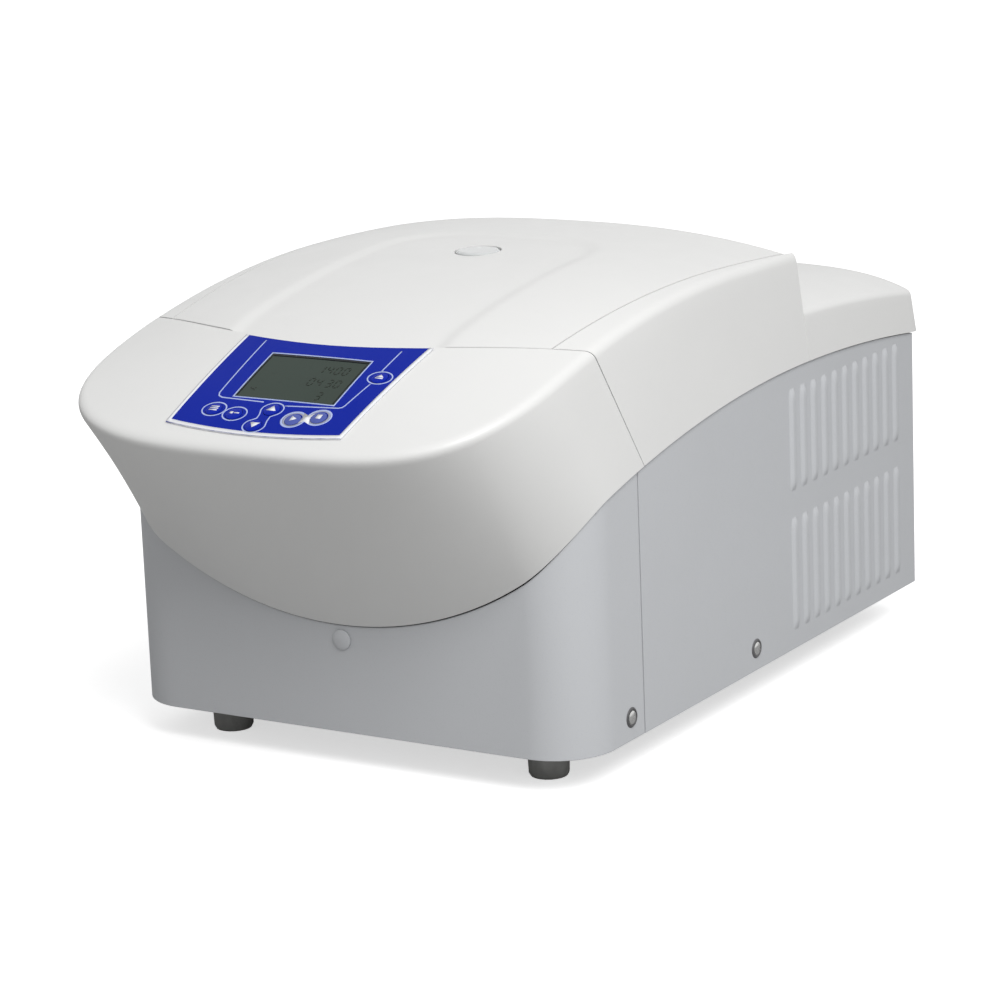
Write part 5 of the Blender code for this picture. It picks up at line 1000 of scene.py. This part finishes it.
def keypad_print():
    white = bmesh.new()
    inset, rear_inset, steps = 0.0011, 0.0004, 16
    left, right = -OVERLAY_LEFT + inset, OVERLAY_RIGHT_FRONT - inset
    border = [(left, overlay_rear(left) - rear_inset), (left, overlay_front(-OVERLAY_LEFT) + inset)]
    for k in range(1, steps + 1):
        x = left + (right - left) * k / steps
        border.append((x, overlay_front(x) + inset))
    border.append((OVERLAY_RIGHT_REAR - inset, overlay_rear(OVERLAY_RIGHT_REAR) - rear_inset))
    ribbon(white, border, 0.0027, thick=0.0010)
    print_piece("keypad_border", white, PRINT_WHITE)

    pale = bmesh.new()
    line, frame_width, ring_width = 0.0009, 0.0010, 0.0016
    key_oval, arrow_oval = (0.0084, 0.0061), (0.0078, 0.0060)
    start_oval, ring_oval = (0.0081, 0.0067), (0.0067, 0.0060)
    layer = 0.00003
    y_low, y_high = SCREEN_REAR_Y - SCREEN_DEPTH, SCREEN_REAR_Y
    x_low, x_high = SCREEN_X - SCREEN_HALF, SCREEN_X + SCREEN_HALF
    edge = 0.0009
    frame_line = [(x_low - edge, y_low - edge), (x_high + edge, y_low - edge)]
    frame_line += [(x_high + edge, y_high + edge), (x_low - edge, y_high + edge)]
    ribbon(pale, frame_line, frame_width, closed=True)
    left_line = [(-0.0444, -0.0028), (-0.0427, -0.0579), (-0.0412, -0.0606),
                 (-0.0379, -0.0620), (-0.0058, -0.0630)]
    right_line = [(0.0113, -0.0647), (0.0487, -0.0620), (0.0509, -0.0610),
                  (0.0518, -0.0592), (0.0562, -0.0370)]
    rear_line = [(0.0562, -0.0240), (0.0573, -0.0022)]
    for points in (left_line, right_line, rear_line):
        ribbon(pale, points, line)
    for name in ("key_menu", "key_set", "key_lid"):
        x, y = KEYS[name]
        ribbon(pale, oval(x, y, *key_oval), line, closed=True)
    up_x, up_y = KEYS["key_up"]
    down_x, down_y = KEYS["key_down"]
    waist_x, waist_y = (up_x + down_x) / 2, (up_y + down_y) / 2
    capsule = oval(up_x, up_y, *arrow_oval, -35, 205)
    capsule += [(waist_x - 0.0042, waist_y + 0.0022), (waist_x - 0.0040, waist_y - 0.0012)]
    capsule += oval(down_x, down_y, *arrow_oval, 145, 385)
    capsule += [(waist_x + 0.0046, waist_y - 0.0022), (waist_x + 0.0044, waist_y + 0.0012)]
    ribbon(pale, capsule, line, closed=True)
    for name in ("key_start", "key_stop"):
        x, y = KEYS[name]
        ribbon(pale, oval(x, y, *start_oval), line * 1.3, closed=True)
    print_piece("keypad_lines", pale, PRINT_BLUE)

    grey = bmesh.new()
    for name in ("key_start", "key_stop"):
        x, y = KEYS[name]
        ribbon(grey, oval(x, y, *ring_oval), ring_width, closed=True, lift=LIFT - layer)
    print_piece("keypad_grey_rings", grey, PRINT_GREY)

    start_x, start_y = KEYS["key_start"]
    stop_x, stop_y = KEYS["key_stop"]
    bridge = bmesh.new()
    cx, cy = (start_x + stop_x) / 2, (start_y + stop_y) / 2
    outline = [(-0.0044, -0.0050), (0, -0.0026), (0.0046, -0.0046), (0.0026, 0)]
    outline += [(0.0046, 0.0050), (0, 0.0026), (-0.0042, 0.0046), (-0.0026, 0)]
    blob(bridge, [(cx + u, cy + v) for u, v in outline], LIFT + layer)
    print_piece("keypad_bridge", bridge, PRINT_WHITE)


def key_marks():
    """Plain signs on the keys, which move with them."""
    lift = (GAP + OVERLAY_THICK + KEY_PROUD) / math.cos(math.atan(KEY_SLOPE)) + MARK_LIFT
    marks = {
        "key_menu": [[(-0.0030, 0.0012), (0.0030, 0.0012), (0.0030, 0.0020), (-0.0030, 0.0020)],
                     [(-0.0030, -0.0004), (0.0030, -0.0004), (0.0030, 0.0004), (-0.0030, 0.0004)],
                     [(-0.0030, -0.0020), (0.0030, -0.0020), (0.0030, -0.0012), (-0.0030, -0.0012)]],
        "key_set": [[(-0.0034, -0.0009), (-0.0012, -0.0009), (-0.0012, 0.0009), (-0.0034, 0.0009)],
                    [(-0.0006, -0.0004), (0.0034, -0.0004), (0.0034, 0.0004), (-0.0006, 0.0004)]],
        "key_up": [[(-0.0036, -0.0018), (0.0036, -0.0018), (0, 0.0026)]],
        "key_down": [[(-0.0036, 0.0018), (0, -0.0026), (0.0036, 0.0018)]],
        "key_start": [[(-0.0018, -0.0022), (0.0024, 0), (-0.0018, 0.0022)]],
        "key_stop": [[(-0.0018, -0.0018), (0.0018, -0.0018), (0.0018, 0.0018), (-0.0018, 0.0018)]],
        "key_lid": [[(-0.0028, -0.0004), (0.0028, -0.0004), (0, 0.0022)],
                    [(-0.0028, -0.0018), (0.0028, -0.0018), (0.0028, -0.0010), (-0.0028, -0.0010)]],
    }
    for name, shapes in marks.items():
        x, y = KEYS[name]
        bm = bmesh.new()
        for shape in shapes:
            blob(bm, [(x + u, y + v) for u, v in shape], lift)
        body = name.replace("key_", "") + "_button"
        print_piece(name + "_mark", bm, PRINT_WHITE, body)


def screen():
    lift = GAP * PANEL_LEAN + WINDOW_THICK * PANEL_LEAN + PRINT_LIFT
    y_low, y_high = SCREEN_REAR_Y - SCREEN_DEPTH + GAP, SCREEN_REAR_Y - GAP
    x_low, x_high = SCREEN_X - SCREEN_HALF + GAP, SCREEN_X + SCREEN_HALF - GAP
    # Dark bands along the screen's rear edge and both sides: painted shadow of the recess, widest at the
    # rear edge and narrowest on the right
    recess_shadow = bmesh.new()
    head_y, sides_y = y_high - 0.0012, y_high - 0.0023
    ribbon(recess_shadow, [(x_low, head_y), (x_high, head_y)], 0.0022, lift=lift)
    for x, width in ((x_low + 0.0007, 0.0012), (x_high - 0.0004, 0.0007)):
        ribbon(recess_shadow, [(x, sides_y), (x, y_low)], width, lift=lift)
    print_piece("display_recess_painted_shadow", recess_shadow, LCD_RECESS_PAINTED_SHADOW)
    digits = bmesh.new()
    segments = {0: (0, 0, 1, 0), 1: (1, 0, 1, 0.5), 2: (1, 0.5, 1, 1), 3: (0, 1, 1, 1),
                4: (0, 0.5, 0, 1), 5: (0, 0, 0, 0.5), 6: (0, 0.5, 1, 0.5)}
    shapes = {"0": (0, 1, 2, 3, 4, 5), "1": (1, 2), "3": (0, 1, 2, 3, 6), "4": (1, 2, 4, 6)}

    def digit(character, x, y, width, height):
        for k in shapes[character]:
            x0, y0, x1, y1 = segments[k]
            a = (x + x0 * width, y + y0 * height)
            b = (x + x1 * width, y + y1 * height)
            stroke, trim = 0.0009, 0.0006
            if x0 == x1:
                a, b = (a[0], a[1] + trim), (b[0], b[1] - trim)
            else:
                a, b = (a[0] + trim, a[1]), (b[0] - trim, b[1])
            ribbon(digits, [a, b], stroke, lift=lift)

    tall, small, pitch, width = 0.0070, 0.0040, 0.0060, 0.0034
    places = (("1400", 0.0065, -0.0120, tall), ("04", 0.0065, -0.0245, tall), ("30", 0.0200, -0.0245, tall),
              ("3", 0.0200, -0.0370, tall), ("4", -0.0300, -0.0355, small))
    for text, x, y, height in places:
        for k, character in enumerate(text):
            digit(character, SCREEN_X + x + k * pitch, SCREEN_REAR_Y + y - height / 2, width, height)
    print_piece("display_digits", digits, LCD_SEGMENT)


def turned(bm, profile, start, direction, segments=48):
    """A closed ring whose outer profile is given as radius and height."""
    turn = Vector(direction).to_track_quat("Z", "Y").to_matrix()
    rings = []
    for radius, height in [(profile[0][0], 0)] + profile + [(profile[-1][0], 0)]:
        ring = []
        for k in range(segments):
            angle = 2 * math.pi * k / segments
            point = Vector((radius * math.cos(angle), radius * math.sin(angle), height))
            ring.append(bm.verts.new(Vector(start) + turn @ point))
        rings.append(ring)
    for one, other in zip(rings, rings[1:] + rings[:1]):
        for k in range(segments):
            m = (k + 1) % segments
            bm.faces.new((one[k], one[m], other[m], other[k]))


def dimple_shades_and_plug_ring():
    """Painted shade round the four side screws, as dark rings where their dimples in the panel fall in
    shade, and the light ring round the plug.
    """
    dimple_shade_profile = [(0.0047, 0.0003), (0.0050, 0.0011), (0.0058, 0.0012), (0.0067, 0.0003)]
    ring_profile = [(0.0051, 0.0003), (0.0053, 0.0009), (0.0059, 0.0009), (0.0062, 0.0003)]
    sunk = 0.0003
    dimple_shades = bmesh.new()
    for side in (-1, 1):
        for y in SCREW_YS:
            start = (side * (HOUSING_HALF - sunk), y, SCREW_Z)
            turned(dimple_shades, dimple_shade_profile, start, (side, 0, 0))
    print_piece("screw_dimple_shades", dimple_shades, DIMPLE_SHADE)
    ring = bmesh.new()
    turned(ring, ring_profile, (0, sunk, PLUG_Z), (0, -1, 0))
    print_piece("plug_ring", ring, RING)


fascia()
lid()
deck()
for side in (-1, 1):
    rail(side)
    side_panel(side)
    louvre_hoods(side)
dimple_shades_and_plug_ring()
step_plate()
front_housing()
keypad_print()
key_marks()
screen()

LOOKS = {
    WHITE_INNER: ["chamber_deck", "lid_liner"],
    GREY: ["rear_panel", "release_plug"],
    BLUE: ["keypad_overlay"],
    BLUE_KEY: ["key_menu", "key_set", "key_up", "key_down", "key_lid"],
    START_KEY: ["key_start", "key_stop"],
    LCD: ["display_window"],
    CLEAR_WITH_PAINTED_REFLECTION: ["sight_glass"],
    FOOT: ["foot_front_left", "foot_front_right", "foot_rear_left", "foot_rear_right"],
    RUBBER: ["motor_damper_front", "motor_damper_rear_left", "motor_damper_rear_right", "lid_gasket"],
    STEEL: ["rotor_bowl", "drive_shaft", "rotor_nut", "hinge_pin", "lid_hook", "lock_bolt"],
    BRIGHT: ["side_screw_left_front", "side_screw_left_rear",
             "side_screw_right_front", "side_screw_right_rear"],
    ZINC: ["base_tray", "bulkhead", "hinge_arm_left", "hinge_arm_right",
           "hinge_bracket_left", "hinge_bracket_right"],
    ALUMINIUM: ["rotor", "condenser"],
    COPPER: ["evaporator_coil", "discharge_pipe", "suction_pipe", "liquid_pipe"],
    FOAM: ["chamber_insulation"],
    ENAMEL: ["drive_motor", "compressor", "mains_rocker"],
    BOARD: ["display_board"],
    DARK: ["lock_body", "fan_frame", "fan_wheel", "mains_inlet", "switch_frame"],
}
EDGES = {"rear_panel": 0.0006, "mains_inlet": 0.0005, "switch_frame": 0.0005,
         "mains_rocker": 0.0005, "release_plug": 0.0003, "rotor": 0.0005, "rotor_nut": 0.0004}
for material, names in LOOKS.items():
    for name in names:
        finish_node(name, material, EDGES.get(name, 0.0))

# Stage, light and camera
def empty_tree(data):
    data.use_nodes = True
    data.node_tree.nodes.clear()
    return data.node_tree


def lit(tree, kind, grey, strength=None):
    node = tree.nodes.new("ShaderNode" + kind)
    node.inputs["Color"].default_value = (grey, grey, grey, 1)
    if strength is not None:
        node.inputs["Strength"].default_value = strength
    return node.outputs[0]


def joining(tree, kind, *sources):
    """The output of a node whose first inputs come from other nodes."""
    node = tree.nodes.new("ShaderNode" + kind)
    if kind == "Math":
        node.operation = "MAXIMUM"
    for source, socket in zip(sources, node.inputs):
        tree.links.new(source, socket)
    return node.outputs[0]


FLOOR_GREY, FLOOR_SHOWN, FLOOR_GLOW = 0.45, 0.95, 0.60
AMBIENT, BACKDROP = 0.40, 1.0
SUN_STRENGTH, SUN_FROM = 1.20, Vector((0.58, -0.30, 0.76))
NEAR_POWER, NEAR_SIZE = 6.2, 0.8
NEAR_PLACE, NEAR_AIM = Vector((0.78, -0.66, 1.00)), Vector((0, -0.05, 0.2))

floor_mesh = bmesh.new()
bmesh.ops.create_grid(floor_mesh, x_segments=1, y_segments=1, size=30)
floor_material = bpy.data.materials.new("pale_floor")
tree = empty_tree(floor_material)
rays = tree.nodes.new("ShaderNodeLightPath").outputs
plain = lit(tree, "BsdfDiffuse", FLOOR_GREY)
shown = lit(tree, "BsdfDiffuse", FLOOR_SHOWN)
glow = lit(tree, "Emission", 1, FLOOR_GLOW)
seen = joining(tree, "Math", rays["Is Camera Ray"], rays["Is Transmission Ray"])
surface = joining(tree, "MixShader", seen, plain, joining(tree, "AddShader", shown, glow))
tree.links.new(surface, tree.nodes.new("ShaderNodeOutputMaterial").inputs["Surface"])
floor = new_piece("floor", floor_mesh, floor_material, None, shift=False)

world = bpy.data.worlds.new("soft_studio")
bpy.context.scene.world = world
tree = empty_tree(world)
rays = tree.nodes.new("ShaderNodeLightPath").outputs
ambient = lit(tree, "Background", 1, AMBIENT)
backdrop = lit(tree, "Background", 1, BACKDROP)
seen = joining(tree, "Math", rays["Is Camera Ray"], rays["Is Glossy Ray"])
seen = joining(tree, "Math", seen, rays["Is Transmission Ray"])
surface = joining(tree, "MixShader", seen, ambient, backdrop)
tree.links.new(surface, tree.nodes.new("ShaderNodeOutputWorld").inputs["Surface"])

sun_data = bpy.data.lights.new("key_light", "SUN")
sun_data.energy = SUN_STRENGTH
sun_data.angle = math.radians(35)
sun = place("key_light", sun_data)
sun.rotation_euler = SUN_FROM.to_track_quat("Z", "Y").to_euler()
near_data = bpy.data.lights.new("near_light", "AREA")
near_data.shape = "DISK"
near_data.size = NEAR_SIZE
near_data.energy = NEAR_POWER
near = place("near_light", near_data)
near.location = NEAR_PLACE
near.rotation_euler = (NEAR_PLACE - NEAR_AIM).to_track_quat("Z", "Y").to_euler()

# The photo's camera: angles in radians, distances in metres
VIEW_TURN, VIEW_RISE, VIEW_ROLL, VIEW_DISTANCE = 0.5576, 0.2381, -0.04, 2.3665
TARGET = Vector((0.0294, 0.15 + ORIGIN_Y, 0.1473))
FOCAL_PIXELS = 3556.3263
PHOTO_PIXELS = 1000
level = math.cos(VIEW_RISE)
back = Vector((math.sin(VIEW_TURN) * level, -math.cos(VIEW_TURN) * level, math.sin(VIEW_RISE)))
right = Vector((math.cos(VIEW_TURN), math.sin(VIEW_TURN), 0))
up = back.cross(right)
rolled_right = right * math.cos(VIEW_ROLL) + up * math.sin(VIEW_ROLL)
rolled_up = up * math.cos(VIEW_ROLL) - right * math.sin(VIEW_ROLL)
camera_data = bpy.data.cameras.new("photo_camera")
camera_data.sensor_width = 36
camera_data.lens = FOCAL_PIXELS * camera_data.sensor_width / PHOTO_PIXELS
camera_data.clip_end = 100
camera = place("photo_camera", camera_data)
turn = Matrix((rolled_right, rolled_up, back)).transposed().to_4x4()
turn.translation = TARGET + back * VIEW_DISTANCE
camera.matrix_world = turn
bpy.context.scene.camera = camera
bpy.context.scene.view_settings.view_transform = "Standard"
